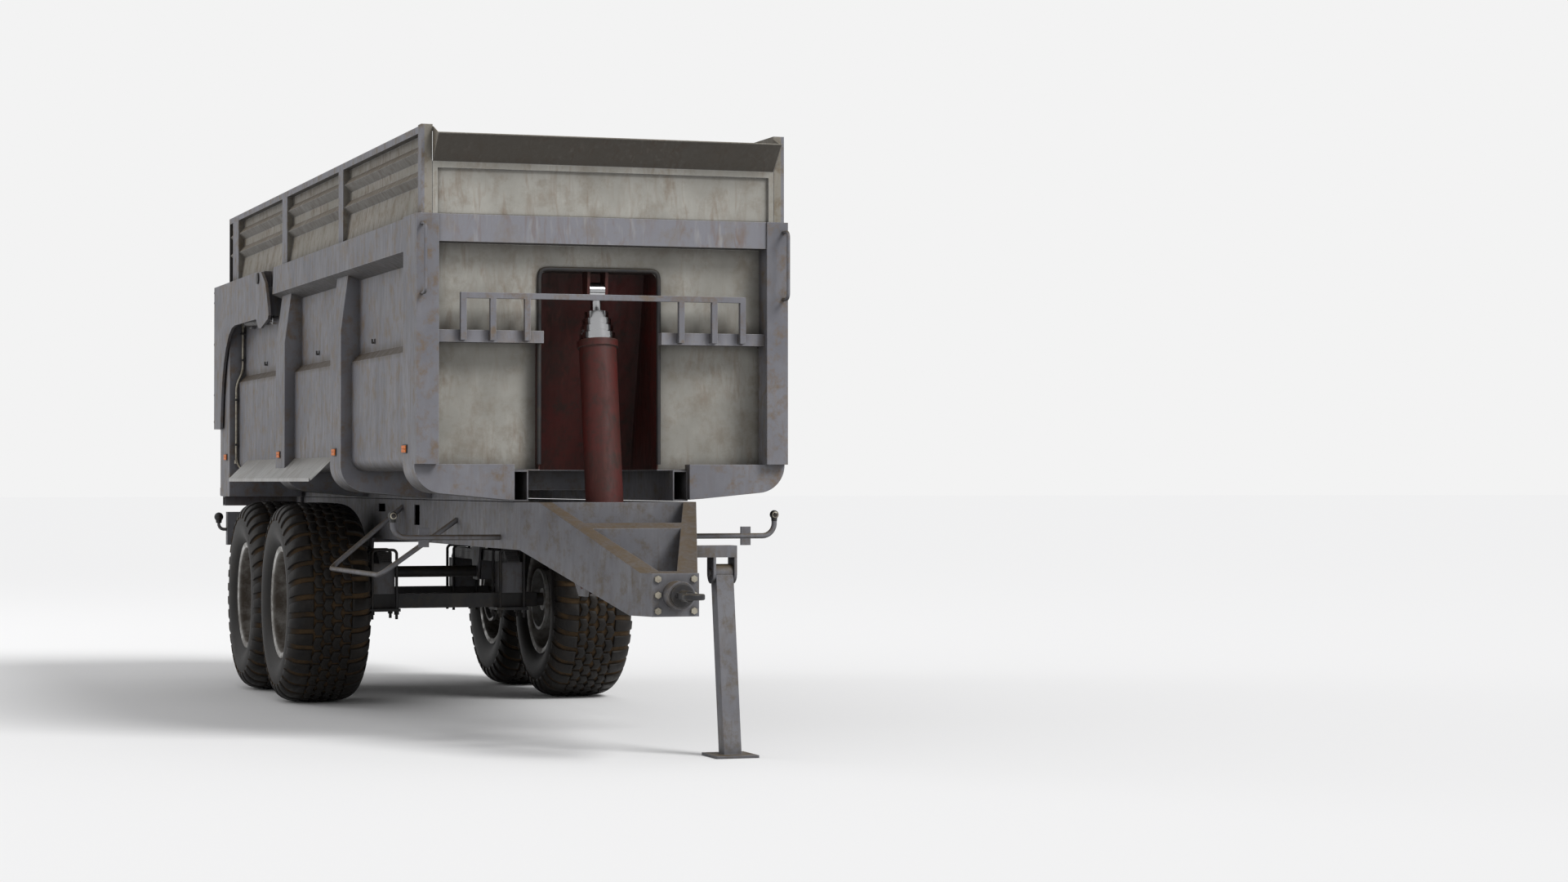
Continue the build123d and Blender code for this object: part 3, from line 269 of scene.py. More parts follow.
def brushedSheet(name, look):
    # galvanised sheet rubbed bare by thrown grit: bright grey with fine lines and dried soil near its root
    material, tree, shader, place = startMaterial(name)
    spot = place.outputs["Object"]
    drawn = addNode(tree, "Mapping", {"Vector": spot, "Scale": (1.0, 0.03, 0.03)}).outputs[0]
    lines = addNode(tree, "TexNoise", {"Vector": drawn, "Scale": perMetre(look["lineMm"]), "Detail": 4.0,
                                       "Roughness": 0.7}).outputs[0]
    cloud = addNode(tree, "TexNoise", {"Vector": spot, "Scale": perMetre(look["cloudMm"]),
                                       "Detail": 5.0}).outputs[0]
    soil = addNode(tree, "MapRange", {0: cloud, 1: 0.5, 2: 0.74, 3: 0.0, 4: look["soilAmount"]}).outputs[0]
    height = addNode(tree, "SeparateXYZ", {0: spot}).outputs[2]
    root = addNode(tree, "MapRange", {0: height, 1: look["rootFrom"], 2: look["rootFrom"] + 0.1, 3: 0.0,
                                      4: 1.0}).outputs[0]
    root = addNode(tree, "Math", {0: root, 1: cloud}, operation="MULTIPLY").outputs[0]
    soil = addNode(tree, "Math", {0: soil, 1: root}, operation="MAXIMUM").outputs[0]
    mark = addNode(tree, "MapRange", {0: lines, 1: 0.35, 2: 0.65, 3: 0.0, 4: 1.0}).outputs[0]
    metal = addNode(tree, "Mix", {0: mark, 6: linear(look["darkHex"]), 7: linear(look["lightHex"])},
                    data_type="RGBA").outputs[2]
    soiled = addNode(tree, "Mix", {0: soil, 6: metal, 7: linear(look["soilHex"])},
                     data_type="RGBA").outputs[2]
    tree.links.new(soiled, shader.inputs["Base Color"])
    bare = addNode(tree, "MapRange", {0: soil, 1: 0.1, 2: 0.6, 3: look["metallic"], 4: 0.1}).outputs[0]
    tree.links.new(bare, shader.inputs["Metallic"])
    rough = addNode(tree, "MapRange", {0: lines, 1: 0.3, 2: 0.7, 3: look["roughness"] - 0.1,
                                       4: look["roughness"] + 0.15}).outputs[0]
    tree.links.new(rough, shader.inputs["Roughness"])
    groove = addNode(tree, "Bump", {"Height": lines, "Distance": 0.0008, "Strength": 0.5}).outputs[0]
    tree.links.new(groove, shader.inputs["Normal"])
    return material


def tyreRubber(name, look):
    # vulcanised carbon-black rubber: matt near-black, browned by age, with dry soil packed between the blocks
    material, tree, shader, place = startMaterial(name)
    spot = place.outputs["Object"]
    packed = addNode(tree, "Attribute", attribute_name="soilDepth").outputs["Fac"]
    blotch = addNode(tree, "TexNoise", {"Vector": spot, "Scale": perMetre(look["blotchMm"]), "Detail": 6.0,
                                        "Roughness": 0.65}).outputs[0]
    grain = addNode(tree, "TexNoise", {"Vector": spot, "Scale": perMetre(look["grainMm"]), "Detail": 3.0,
                                       "Roughness": 0.7}).outputs[0]
    spread = addNode(tree, "MapRange", {0: blotch, 1: 0.35, 2: 0.65, 3: 0.35, 4: 1.0}).outputs[0]
    soil = addNode(tree, "Math", {0: packed, 1: spread}, operation="MULTIPLY").outputs[0]
    soil = addNode(tree, "MapRange", {0: soil, 1: 0.1, 2: 0.85, 3: 0.0, 4: look["soilAmount"]}).outputs[0]
    haze = addNode(tree, "MapRange", {0: blotch, 1: 0.4, 2: 0.7, 3: 0.0, 4: 1.0}).outputs[0]
    rubber = addNode(tree, "Mix", {0: haze, 6: linear(look["baseHex"]), 7: linear(look["agedHex"])},
                     data_type="RGBA").outputs[2]
    muddy = addNode(tree, "Mix", {0: soil, 6: rubber, 7: linear(look["soilHex"])},
                    data_type="RGBA").outputs[2]
    tree.links.new(muddy, shader.inputs["Base Color"])
    rough = addNode(tree, "MapRange", {0: soil, 1: 0.0, 2: 0.6, 3: look["roughness"], 4: 0.95}).outputs[0]
    tree.links.new(rough, shader.inputs["Roughness"])
    shader.inputs["Specular IOR Level"].default_value = 0.28
    lumps = addNode(tree, "Bump", {"Height": blotch, "Distance": 0.002, "Strength": 0.4}).outputs[0]
    skin = addNode(tree, "Bump", {"Height": grain, "Distance": 0.0007, "Strength": 0.5,
                                  "Normal": lumps}).outputs[0]
    tree.links.new(skin, shader.inputs["Normal"])
    return material


def dirtyMetal(name, look):
    # a metal or metallic-painted part with dust and rust gathered in patches
    material, tree, shader, place = startMaterial(name)
    spot = place.outputs["Object"]
    blotch = addNode(tree, "TexNoise", {"Vector": spot, "Scale": perMetre(look["blotchMm"]), "Detail": 6.0,
                                        "Roughness": 0.65}).outputs[0]
    fine = addNode(tree, "TexNoise", {"Vector": spot, "Scale": perMetre(look["fineMm"]), "Detail": 3.0,
                                      "Roughness": 0.7}).outputs[0]
    spread = addNode(tree, "MapRange", {0: blotch, 1: look["dirtFrom"], 2: look["dirtFrom"] + 0.2, 3: 0.0,
                                        4: look["dirtAmount"]}).outputs[0]
    mottle = addNode(tree, "MapRange", {0: fine, 1: 0.35, 2: 0.65, 3: 0.6, 4: 1.0}).outputs[0]
    spread = addNode(tree, "Math", {0: spread, 1: mottle}, operation="MULTIPLY").outputs[0]
    if "hollowMudAndShade" in look:
        # dried mud and painted shade in the hollow of the wheel, marked on the mesh
        packed = addNode(tree, "Attribute", attribute_name="soilDepth").outputs["Fac"]
        clots = addNode(tree, "MapRange", {0: blotch, 1: 0.3, 2: 0.6, 3: 0.55, 4: 1.0}).outputs[0]
        packed = addNode(tree, "Math", {0: packed, 1: clots}, operation="MULTIPLY").outputs[0]
        packed = addNode(tree, "Math", {0: packed, 1: look["hollowMudAndShade"]}, operation="MULTIPLY").outputs[0]
        spread = addNode(tree, "Math", {0: spread, 1: packed}, operation="MAXIMUM").outputs[0]
    colour = addNode(tree, "Mix", {0: spread, 6: linear(look["baseHex"]), 7: linear(look["dirtHex"])},
                     data_type="RGBA").outputs[2]
    tree.links.new(colour, shader.inputs["Base Color"])
    bare = addNode(tree, "MapRange", {0: spread, 1: 0.0, 2: 0.5, 3: look["metallic"], 4: 0.0}).outputs[0]
    tree.links.new(bare, shader.inputs["Metallic"])
    rough = addNode(tree, "MapRange", {0: spread, 1: 0.0, 2: 0.6, 3: look["roughness"], 4: 0.9}).outputs[0]
    tree.links.new(rough, shader.inputs["Roughness"])
    bump = addNode(tree, "Bump", {"Height": fine, "Distance": look["bumpMm"] * 0.001,
                                  "Strength": 0.5}).outputs[0]
    tree.links.new(bump, shader.inputs["Normal"])
    return material


def lensPlastic(name, look):
    # moulded acrylic: clear-bodied colour with a gloss skin, thin dust and a little light let through
    material, tree, shader, place = startMaterial(name)
    dust = addNode(tree, "TexNoise", {"Vector": place.outputs["Object"], "Scale": perMetre(14.0),
                                      "Detail": 5.0}).outputs[0]
    film = addNode(tree, "MapRange", {0: dust, 1: 0.4, 2: 0.7, 3: 0.0, 4: 0.45}).outputs[0]
    colour = addNode(tree, "Mix", {0: film, 6: linear(look["baseHex"]), 7: linear(look["dustHex"])},
                     data_type="RGBA").outputs[2]
    tree.links.new(colour, shader.inputs["Base Color"])
    rough = addNode(tree, "MapRange", {0: film, 1: 0.0, 2: 0.45, 3: 0.14, 4: 0.6}).outputs[0]
    tree.links.new(rough, shader.inputs["Roughness"])
    shader.inputs["IOR"].default_value = 1.49
    shader.inputs["Subsurface Weight"].default_value = 0.15
    shader.inputs["Subsurface Radius"].default_value = (0.004, 0.002, 0.001)
    return material


bleached = {"baseHex": "84827b", "secondHex": "9c9a93", "grimeHex": "6f6353", "grimeAmount": 0.42,
            "grimeMm": 160.0, "dirtHex": "6b4f35", "streakAmount": 0.5, "streakMm": 60.0, "streakDraw": 0.22,
            "washHex": "b6b4ac", "dustHex": "7c6f58", "roughness": 0.62, "chipHex": "6b4326",
            "wearHex": "c1c0bb"}
materials = {
    "body_paint": enamel("trailer enamel, lilac grey", coat()),
    "shell_coat": enamel("trailer enamel, soiled along the ledge",
                         coat(bandFrom=2.25, bandTo=2.295, bandHex="43372a", dustHex="4d4130")),
    "wall_paint": enamel("wall enamel, bleached, with a dull visor",
                         coat(**bleached, proudAxis=2, proudFrom=3.305, proudHex="6c665b")),
    "wall_frame": enamel("front wall enamel, bleached plate with grey beams",
                         coat(**bleached, proudAxis=0, proudFrom=at(0.148), proudHex="77777d")),
    "side_sheet": enamel("extension enamel, soiled sheet between grey posts",
                         coat(baseHex="7a766c", secondHex="88837a", grimeHex="63553f", grimeAmount=0.85,
                              streakAmount=0.7, roughness=0.58, proudAxis=1, proudFrom=1.0565,
                              proudHex="737379")),
    "chassis_paint": enamel("chassis enamel, grey with road dust",
                            coat(baseHex="5e5e63", secondHex="6a6a6e", grimeHex="544939", dirtHex="55493b",
                                 streakAmount=0.5, cloudMm=340.0, roughness=0.55, wearHex="8f8f95",
                                 waveMm=3.0)),
    "dark_steel": enamel("black enamel on steel, dusty",
                         coat(baseHex="242427", secondHex="2e2d2e", grimeHex="3b342a", dirtHex="40382e",
                              streakAmount=0.35, cloudMm=240.0, washHex="3a3a3c", dustHex="4b4336",
                              wearHex="5e5d5c", chipHex="4d3a2b", roughness=0.5, waveMm=2.0)),
    "ram_paint": enamel("oxide red enamel, oil-stained",
                        coat(baseHex="4f1814", secondHex="3d1b15", grimeHex="2a1f1a", grimeMm=90.0,
                             dirtHex="2c1d17", streakAmount=0.8, streakMm=60.0, cloudMm=300.0,
                             washHex="6a372d", dustHex="55402f", wearHex="7c5c50", chipHex="35261f",
                             roughness=0.6)),
    "worn_steel": brushedSheet("galvanised sheet, grit-worn",
                               {"lineMm": 9.0, "cloudMm": 180.0, "soilAmount": 0.6, "rootFrom": 1.575,
                                "darkHex": "74726d", "lightHex": "c6c6c4", "soilHex": "5d5040",
                                "metallic": 0.9, "roughness": 0.34}),
    "wheel_steel": dirtyMetal("wheel enamel, aluminium silver with dried mud",
                              {"blotchMm": 120.0, "fineMm": 9.0, "dirtFrom": 0.42, "dirtAmount": 0.75,
                               "baseHex": "b4b3b0", "dirtHex": "41372c", "metallic": 0.7, "roughness": 0.3,
                               "hollowMudAndShade": 0.95, "bumpMm": 0.6}),
    "hub_steel": dirtyMetal("cast iron hub, silver painted",
                            {"blotchMm": 90.0, "fineMm": 4.0, "dirtFrom": 0.44, "dirtAmount": 0.8,
                             "baseHex": "8d8c8a", "dirtHex": "4c4237", "metallic": 0.35, "roughness": 0.5,
                             "bumpMm": 0.9}),
    "ram_chrome": dirtyMetal("hard chrome on ground bar",
                             {"blotchMm": 80.0, "fineMm": 2.0, "dirtFrom": 0.62, "dirtAmount": 0.4,
                              "baseHex": "c9cacb", "dirtHex": "5b5348", "metallic": 1.0, "roughness": 0.16,
                              "bumpMm": 0.05}),
    "zinc_bolts": dirtyMetal("zinc-plated steel, yellowed",
                             {"blotchMm": 30.0, "fineMm": 2.5, "dirtFrom": 0.45, "dirtAmount": 0.7,
                              "baseHex": "a8a395", "dirtHex": "5a4a38", "metallic": 0.9, "roughness": 0.42,
                              "bumpMm": 0.2}),
    "lamp_rubber": dirtyMetal("moulded lamp rubber, black",
                              {"blotchMm": 40.0, "fineMm": 2.0, "dirtFrom": 0.5, "dirtAmount": 0.35,
                               "baseHex": "19191a", "dirtHex": "3f392f", "metallic": 0.0, "roughness": 0.42,
                               "bumpMm": 0.2}),
    "tyre_rubber": tyreRubber("tyre tread compound, soiled",
                              {"blotchMm": 110.0, "grainMm": 2.6, "soilAmount": 0.9, "baseHex": "131110",
                               "agedHex": "211c17", "soilHex": "4a3a27", "roughness": 0.56}),
    "red_lens": lensPlastic("lamp lens acrylic, red", {"baseHex": "8c0f0c", "dustHex": "5d3a2c"}),
    "smoke_lens": lensPlastic("lamp lens acrylic, smoked", {"baseHex": "141110", "dustHex": "4a3d30"}),
    "amber_lens": lensPlastic("reflector acrylic, orange", {"baseHex": "e07410", "dustHex": "a5662a"}),
}
print("materials ready:", len(materials))


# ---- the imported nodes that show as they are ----
def smoothingGroup(angle):
    # sharp edges stay sharp and the rest of the surface shades smooth
    group = bpy.data.node_groups.new("edgeShading", "GeometryNodeTree")
    group.interface.new_socket("Geometry", in_out="INPUT", socket_type="NodeSocketGeometry")
    group.interface.new_socket("Geometry", in_out="OUTPUT", socket_type="NodeSocketGeometry")
    given = addNode(group, "NodeGroupInput").outputs[0]
    merged = addNode(group, "GeometryNodeMergeByDistance",
                     {"Geometry": given, "Distance": 0.00002}).outputs[0]
    faces = addNode(group, "GeometryNodeSetShadeSmooth", {"Geometry": merged}, domain="FACE").outputs[0]
    turn = addNode(group, "GeometryNodeInputMeshEdgeAngle").outputs[0]
    gentle = addNode(group, "FunctionNodeCompare", {0: turn, 1: math.radians(angle)}, data_type="FLOAT",
                     operation="LESS_THAN").outputs[0]
    done = addNode(group, "GeometryNodeSetShadeSmooth", {"Geometry": faces, "Shade Smooth": gentle},
                   domain="EDGE").outputs[0]
    addNode(group, "NodeGroupOutput", {0: done})
    return group


def dressNodes(record, group):
    finishOf = {part["node"]: part["material_slot"] for part in record["subparts"]}
    finishOf["front_wall"] = "wall_frame"
    finishOf["body_shell"] = "shell_coat"
    finishOf["hinge_pins"] = "dark_steel"
    finishOf["extension_sides"] = "side_sheet"
    for name, node in nodes.items():
        for holder in node.material_slots:
            holder.material = materials[finishOf[name]]
        node.modifiers.new("edgeShading", "NODES").node_group = group


dressNodes(frame["record"], smoothingGroup(32.0))
print("packed nodes dressed:", len(nodes))


# ---- shaping helpers ----
def addBlock(bm, low, high, radius=0.0, segments=2):
    # a box between two corners, with its edges rounded
    made = bmesh.ops.create_cube(bm, size=1.0)["verts"]
    low, high = Vector(low), Vector(high)
    bmesh.ops.scale(bm, vec=high - low, verts=made)
    bmesh.ops.translate(bm, vec=(low + high) / 2, verts=made)
    if radius:
        edges = list({edge for vert in made for edge in vert.link_edges})
        bmesh.ops.bevel(bm, geom=edges, offset=radius, affect="EDGES", segments=segments, profile=0.5,
                        material=-1)


def addRod(bm, start, end, radius, segments=24, chamfer=0.0, endRadius=None):
    start, end = Vector(start), Vector(end)
    along = end - start
    place = Matrix.Translation((start + end) / 2) @ along.to_track_quat("Z", "Y").to_matrix().to_4x4()
    tip = radius if endRadius is None else endRadius
    made = bmesh.ops.create_cone(bm, cap_ends=True, segments=segments, radius1=radius, radius2=tip,
                                 depth=along.length, matrix=place)["verts"]
    if chamfer:
        rims = list({edge for vert in made for edge in vert.link_edges if edge.calc_face_angle(0.0) > 1.0
                     and abs((edge.verts[0].co - edge.verts[1].co).normalized() @ along.normalized()) < 0.5})
        bmesh.ops.bevel(bm, geom=rims, offset=chamfer, affect="EDGES", segments=1, profile=0.5, material=-1)


def smoothLine(points, steps):
    # a Catmull-Rom curve through the points of a section
    places = [Vector(p) for p in points]
    places = [places[0] * 2 - places[1]] + places + [places[-1] * 2 - places[-2]]
    line = []
    for a, b, c, d in zip(places, places[1:], places[2:], places[3:]):
        for i in range(steps):
            t = i / steps
            line.append(0.5 * (2 * b + (c - a) * t + (2 * a - 5 * b + 4 * c - d) * t * t
                               + (3 * b - a - 3 * c + d) * t ** 3))
    return line + [places[-2]]


def addTurned(bm, section, steps, closed):
    # (along, radius) points spun about the Y axis
    verts = [bm.verts.new((0.0, along, radius)) for along, radius in section]
    ends = zip(verts, verts[1:] + verts[:1] if closed else verts[1:])
    edges = [bm.edges.new(pair) for pair in ends]
    before = set(bm.faces)
    bmesh.ops.spin(bm, geom=verts + edges, cent=(0, 0, 0), axis=(0, 1, 0), dvec=(0, 0, 0), angle=2 * math.pi,
                   steps=steps, use_merge=True, use_duplicate=False)
    return [face for face in bm.faces if face not in before]


def addMesh(bm, other):
    # the other mesh joins this one and is freed
    mesh = bpy.data.meshes.new("joining")
    other.to_mesh(mesh)
    other.free()
    bm.from_mesh(mesh)
    bpy.data.meshes.remove(mesh)


def around(count, circle):
    # places evenly spaced round the wheel's axis
    for number in range(count):
        angle = 2 * math.pi * number / count
        yield circle * math.cos(angle), circle * math.sin(angle)


def enlist(name, data, finish, body, look=None):
    # what every added piece needs: a material and a body to ride
    data.materials.append(materials[look or finish])
    piece = bpy.data.objects.new(name, data)
    bpy.context.scene.collection.objects.link(piece)
    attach(piece, body)
    return piece


def placePiece(name, bm, finish, body, replaced=(), sharp=34.0, look=None):
    bmesh.ops.remove_doubles(bm, verts=bm.verts, dist=0.00001)
    bmesh.ops.recalc_face_normals(bm, faces=bm.faces)
    for face in bm.faces:
        face.smooth = True
    for edge in bm.edges:
        edge.smooth = edge.calc_face_angle(0.0) < math.radians(sharp)
    mesh = bpy.data.meshes.new(name)
    bm.to_mesh(mesh)
    bm.free()
    piece = enlist(name, mesh, finish, body, look)
    if replaced:
        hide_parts(*replaced)


def addPipe(name, points, radius, finish, body):
    # round pipe on a smooth line through the middle of each run
    data = bpy.data.curves.new(name, "CURVE")
    data.dimensions = "3D"
    data.bevel_depth = radius
    data.bevel_resolution = 4
    data.resolution_u = 6
    data.use_fill_caps = True
    spline = data.splines.new("NURBS")
    spline.points.add(len(points) - 1)
    for point, place in zip(spline.points, points):
        point.co = (*place, 1.0)
    spline.use_endpoint_u = True
    spline.order_u = 3
    enlist(name, data, finish, body)


# ---- wheels ----
tyreSettings = {
    # half of the outer section, crown to bead, as (across, radius)
    "outer": [(0.0, 0.663), (0.09, 0.661), (0.16, 0.655), (0.205, 0.643), (0.238, 0.620), (0.262, 0.585),
              (0.275, 0.545), (0.279, 0.505), (0.274, 0.465), (0.260, 0.428), (0.243, 0.402), (0.232, 0.388)],
    "bead": [(0.226, 0.380), (0.225, 0.347), (0.196, 0.347)],
    "inner": [(0.205, 0.400), (0.238, 0.470), (0.240, 0.540), (0.205, 0.610), (0.120, 0.638), (0.0, 0.642)],
    "sectionSteps": 3, "ringSteps": 108,
    "lugCount": 36, "lugFrom": 0.128, "lugTo": 0.318, "lugLength": 0.082, "lugRise": 0.017, "lugSkew": 0.16,
    "lugNarrows": 0.22, "lugDrops": 0.55, "lugCuts": 8, "blockCuts": 3, "blockSoil": 0.05,
    "rows": [(-0.094, 0.0), (-0.032, 0.5), (0.032, 0.0), (0.094, 0.5)], "rowWidth": 0.049,
    "blockCount": 40, "blockLength": 0.086, "zigzag": 0.009, "sink": 0.005, "edge": 0.004,
    "soilFades": (0.27, 0.36), "sidewallSoil": 0.12,
}
rimSettings = {
    "line": [(0.235, 0.381), (0.2375, 0.371), (0.233, 0.358), (0.229, 0.345), (0.205, 0.340), (0.112, 0.336),
             (0.076, 0.329), (0.054, 0.303), (0.026, 0.294), (-0.066, 0.294), (-0.088, 0.306), (-0.108, 0.335),
             (-0.205, 0.340), (-0.229, 0.345), (-0.233, 0.358), (-0.2375, 0.371), (-0.235, 0.381)],
    "disc": [(-0.020, 0.295), (-0.030, 0.276), (-0.055, 0.250), (-0.064, 0.228), (-0.052, 0.206),
             (-0.050, 0.190), (-0.050, 0.113)],
    "wall": 0.007, "discWall": 0.012, "steps": 84, "lipRadius": 0.352, "lipBlend": 0.012, "lipInner": 0.23,
    "valveTip": (0.16, 0.205, 0.285), "valveRoot": (0.16, 0.150, 0.278), "valveRadius": 0.006,
}
hubSettings = {
    "section": [(0.068, 0.0), (0.068, 0.058), (0.062, 0.068), (0.046, 0.072), (0.043, 0.076), (0.043, 0.096),
                (0.038, 0.104), (-0.020, 0.107), (-0.044, 0.1115), (-0.057, 0.1115), (-0.059, 0.196),
                (-0.068, 0.203), (-0.105, 0.205), (-0.110, 0.198), (-0.122, 0.198), (-0.127, 0.205),
                (-0.215, 0.205), (-0.222, 0.212), (-0.247, 0.212), (-0.247, 0.193), (-0.078, 0.193),
                (-0.078, 0.084), (-0.220, 0.078), (-0.220, 0.0465), (0.030, 0.0465), (0.030, 0.0)],
    "steps": 64, "nutCount": 10, "nutCircle": 0.165, "nutRadius": 0.0175, "nutHeight": 0.024,
    "studRadius": 0.011, "studRoot": 0.01, "studReach": 0.036, "washerRadius": 0.023, "washer": 0.004,
    "seat": -0.044, "capBolts": 6, "capCircle": 0.086, "capRadius": 0.0085, "capFrom": 0.040, "capTo": 0.051,
}


def tyreSection(settings):
    # distance over the tread from the crown's middle, with the place and the outward direction there
    line = smoothLine(settings["outer"], 8)
    table, travelled = [], 0.0
    for here, ahead in zip(line, line[1:]):
        step = ahead - here
        table.append((travelled, here, Vector((-step.y, step.x)).normalized()))
        travelled += step.length
    return table


def overTread(table, distance):
    for (a, here, out), (b, ahead, outAhead) in zip(table, table[1:]):
        if a <= distance <= b:
            t = (distance - a) / (b - a)
            return here.lerp(ahead, t), out.lerp(outAhead, t)
    return table[-1][1], table[-1][2]


def addTreadBlock(bm, settings, size, middle, axis, cuts):
    # a flat block, cut along one axis so that it can bend
    sink, rise = settings["sink"], settings["lugRise"]
    made = bmesh.ops.create_cube(bm, size=1.0)["verts"]
    bmesh.ops.scale(bm, vec=(*size, rise + sink), verts=made)
    bmesh.ops.translate(bm, vec=(0, middle, (rise - sink) / 2), verts=made)
    edges = {edge for vert in made for edge in vert.link_edges}
    along = [edge for edge in edges if abs(edge.verts[0].co[axis] - edge.verts[1].co[axis]) > size[axis] / 2]
    bmesh.ops.subdivide_edges(bm, edges=along, cuts=cuts, use_grid_fill=True)


def makeLugs(settings):
    # the long shoulder blocks, skewed, narrower and lower towards the sidewall
    bm = bmesh.new()
    width = settings["lugTo"] - settings["lugFrom"]
    for sign in (-1, 1):
        middle = sign * (settings["lugFrom"] + width / 2)
        addTreadBlock(bm, settings, (settings["lugLength"], width), middle, 1, settings["lugCuts"])
        for vert in [v for v in bm.verts if v.co.y * sign > 0]:
            share = (abs(vert.co.y) - settings["lugFrom"]) / width
            vert.co.x = (vert.co.x * (1.0 - settings["lugNarrows"] * share * share)
                         + settings["lugSkew"] * sign * share * share * width)
            if vert.co.z > 0:
                vert.co.z *= 1.0 - settings["lugDrops"] * share ** 3
    return bm


def makeCentreBlocks(settings):
    # the zigzag blocks across the middle of the tread
    bm = bmesh.new()
    length, width = settings["blockLength"], settings["rowWidth"]
    pitch = 2 * math.pi * settings["outer"][0][1] / settings["blockCount"]
    for middle, shift in settings["rows"]:
        addTreadBlock(bm, settings, (length, width), middle, 0, settings["blockCuts"])
        mine = [v for v in bm.verts if abs(v.co.y - middle) < width * 0.51]
        for vert in mine:
            vert.co.y += settings["zigzag"] * (1.0 - 4.0 * abs(vert.co.x) / length)
        bmesh.ops.translate(bm, vec=(shift * pitch, 0, 0), verts=mine)
    return bm


def wrapBlocks(bm, flat, count, settings):
    # copies of the flat blocks, bent onto the tread all the way round
    flat.verts.layers.float.new("soilDepth")
    crisp = [e for e in flat.edges if e.calc_face_angle(0.0) > 0.6 and min(v.co.z for v in e.verts) > 0]
    bmesh.ops.bevel(flat, geom=crisp, offset=settings["edge"], affect="EDGES", segments=1, profile=0.5,
                    material=-1)
    table, crown = tyreSection(settings), settings["outer"][0][1]
    for number in range(count):
        turn = number * 2 * math.pi / count
        one = flat.copy()
        mark = one.verts.layers.float["soilDepth"]
        for vert in one.verts:
            place, out = overTread(table, abs(vert.co.y))
            sign = 1 if vert.co.y >= 0 else -1
            height = vert.co.z
            vert[mark] = settings["blockSoil"] if height > settings["lugRise"] * 0.3 else 1.0
            angle = vert.co.x / crown + turn
            radius = place.y + out.y * height
            vert.co = (radius * math.sin(angle), sign * (place.x + out.x * height), radius * math.cos(angle))
        addMesh(bm, one)
    flat.free()


def makeTyre(settings):
    bm = bmesh.new()
    soil = bm.verts.layers.float.new("soilDepth")
    half = smoothLine(settings["outer"], settings["sectionSteps"])
    right = [tuple(p) for p in half] + settings["bead"] + settings["inner"][:-1]
    left = [(-y, r) for y, r in reversed(right[1:])]
    first = len(settings["inner"]) - 1
    section = left[first:] + right + [settings["inner"][-1]] + left[:first]
    addTurned(bm, section, settings["ringSteps"], True)
    fadeFrom, fadeTo = settings["soilFades"]
    for vert in bm.verts:
        reach = abs(vert.co.y) + settings["outer"][0][1] - math.hypot(vert.co.x, vert.co.z)
        share = min(1.0, max(0.0, (fadeTo - reach) / (fadeTo - fadeFrom)))
        vert[soil] = settings["sidewallSoil"] + (1.0 - settings["sidewallSoil"]) * share
    wrapBlocks(bm, makeLugs(settings), settings["lugCount"], settings)
    wrapBlocks(bm, makeCentreBlocks(settings), settings["blockCount"], settings)
    return bm


def makeRim(settings):
    bm = bmesh.new()
    barrel = addTurned(bm, [tuple(p) for p in smoothLine(settings["line"], 3)], settings["steps"], False)
    bmesh.ops.recalc_face_normals(bm, faces=bm.faces)
    bmesh.ops.solidify(bm, geom=barrel, thickness=settings["wall"])
    disc = bmesh.new()
    dish = addTurned(disc, [tuple(p) for p in smoothLine(settings["disc"], 3)], settings["steps"], False)
    bmesh.ops.recalc_face_normals(disc, faces=disc.faces)
    bmesh.ops.solidify(disc, geom=dish, thickness=settings["discWall"])
    addRod(disc, settings["valveTip"], settings["valveRoot"], settings["valveRadius"], 12)
    addMesh(bm, disc)
    # mud and painted shade darken the hollow of the wheel and stop short of the lips
    soil = bm.verts.layers.float.new("soilDepth")
    for vert in bm.verts:
        depth = settings["lipRadius"] - math.hypot(vert.co.x, vert.co.z)
        packed = min(1.0, max(0.0, depth / settings["lipBlend"]))
        vert[soil] = packed if abs(vert.co.y) < settings["lipInner"] else 0.0
    return bm


def makeHub(settings):
    bm = bmesh.new()
    addTurned(bm, settings["section"], settings["steps"], False)
    for x, z in around(settings["capBolts"], settings["capCircle"]):
        addRod(bm, (x, settings["capFrom"], z), (x, settings["capTo"], z), settings["capRadius"], 6, 0.001)
    return bm


def makeNuts(settings):
    bm = bmesh.new()
    seat = settings["seat"]
    face = seat + settings["washer"]
    for x, z in around(settings["nutCount"], settings["nutCircle"]):
        addRod(bm, (x, seat, z), (x, face, z), settings["washerRadius"], 20)
        addRod(bm, (x, face, z), (x, seat + settings["nutHeight"], z), settings["nutRadius"], 6, 0.002)
        addRod(bm, (x, seat + settings["studRoot"], z), (x, seat + settings["studReach"], z),
               settings["studRadius"], 14, 0.0015)
    return bm


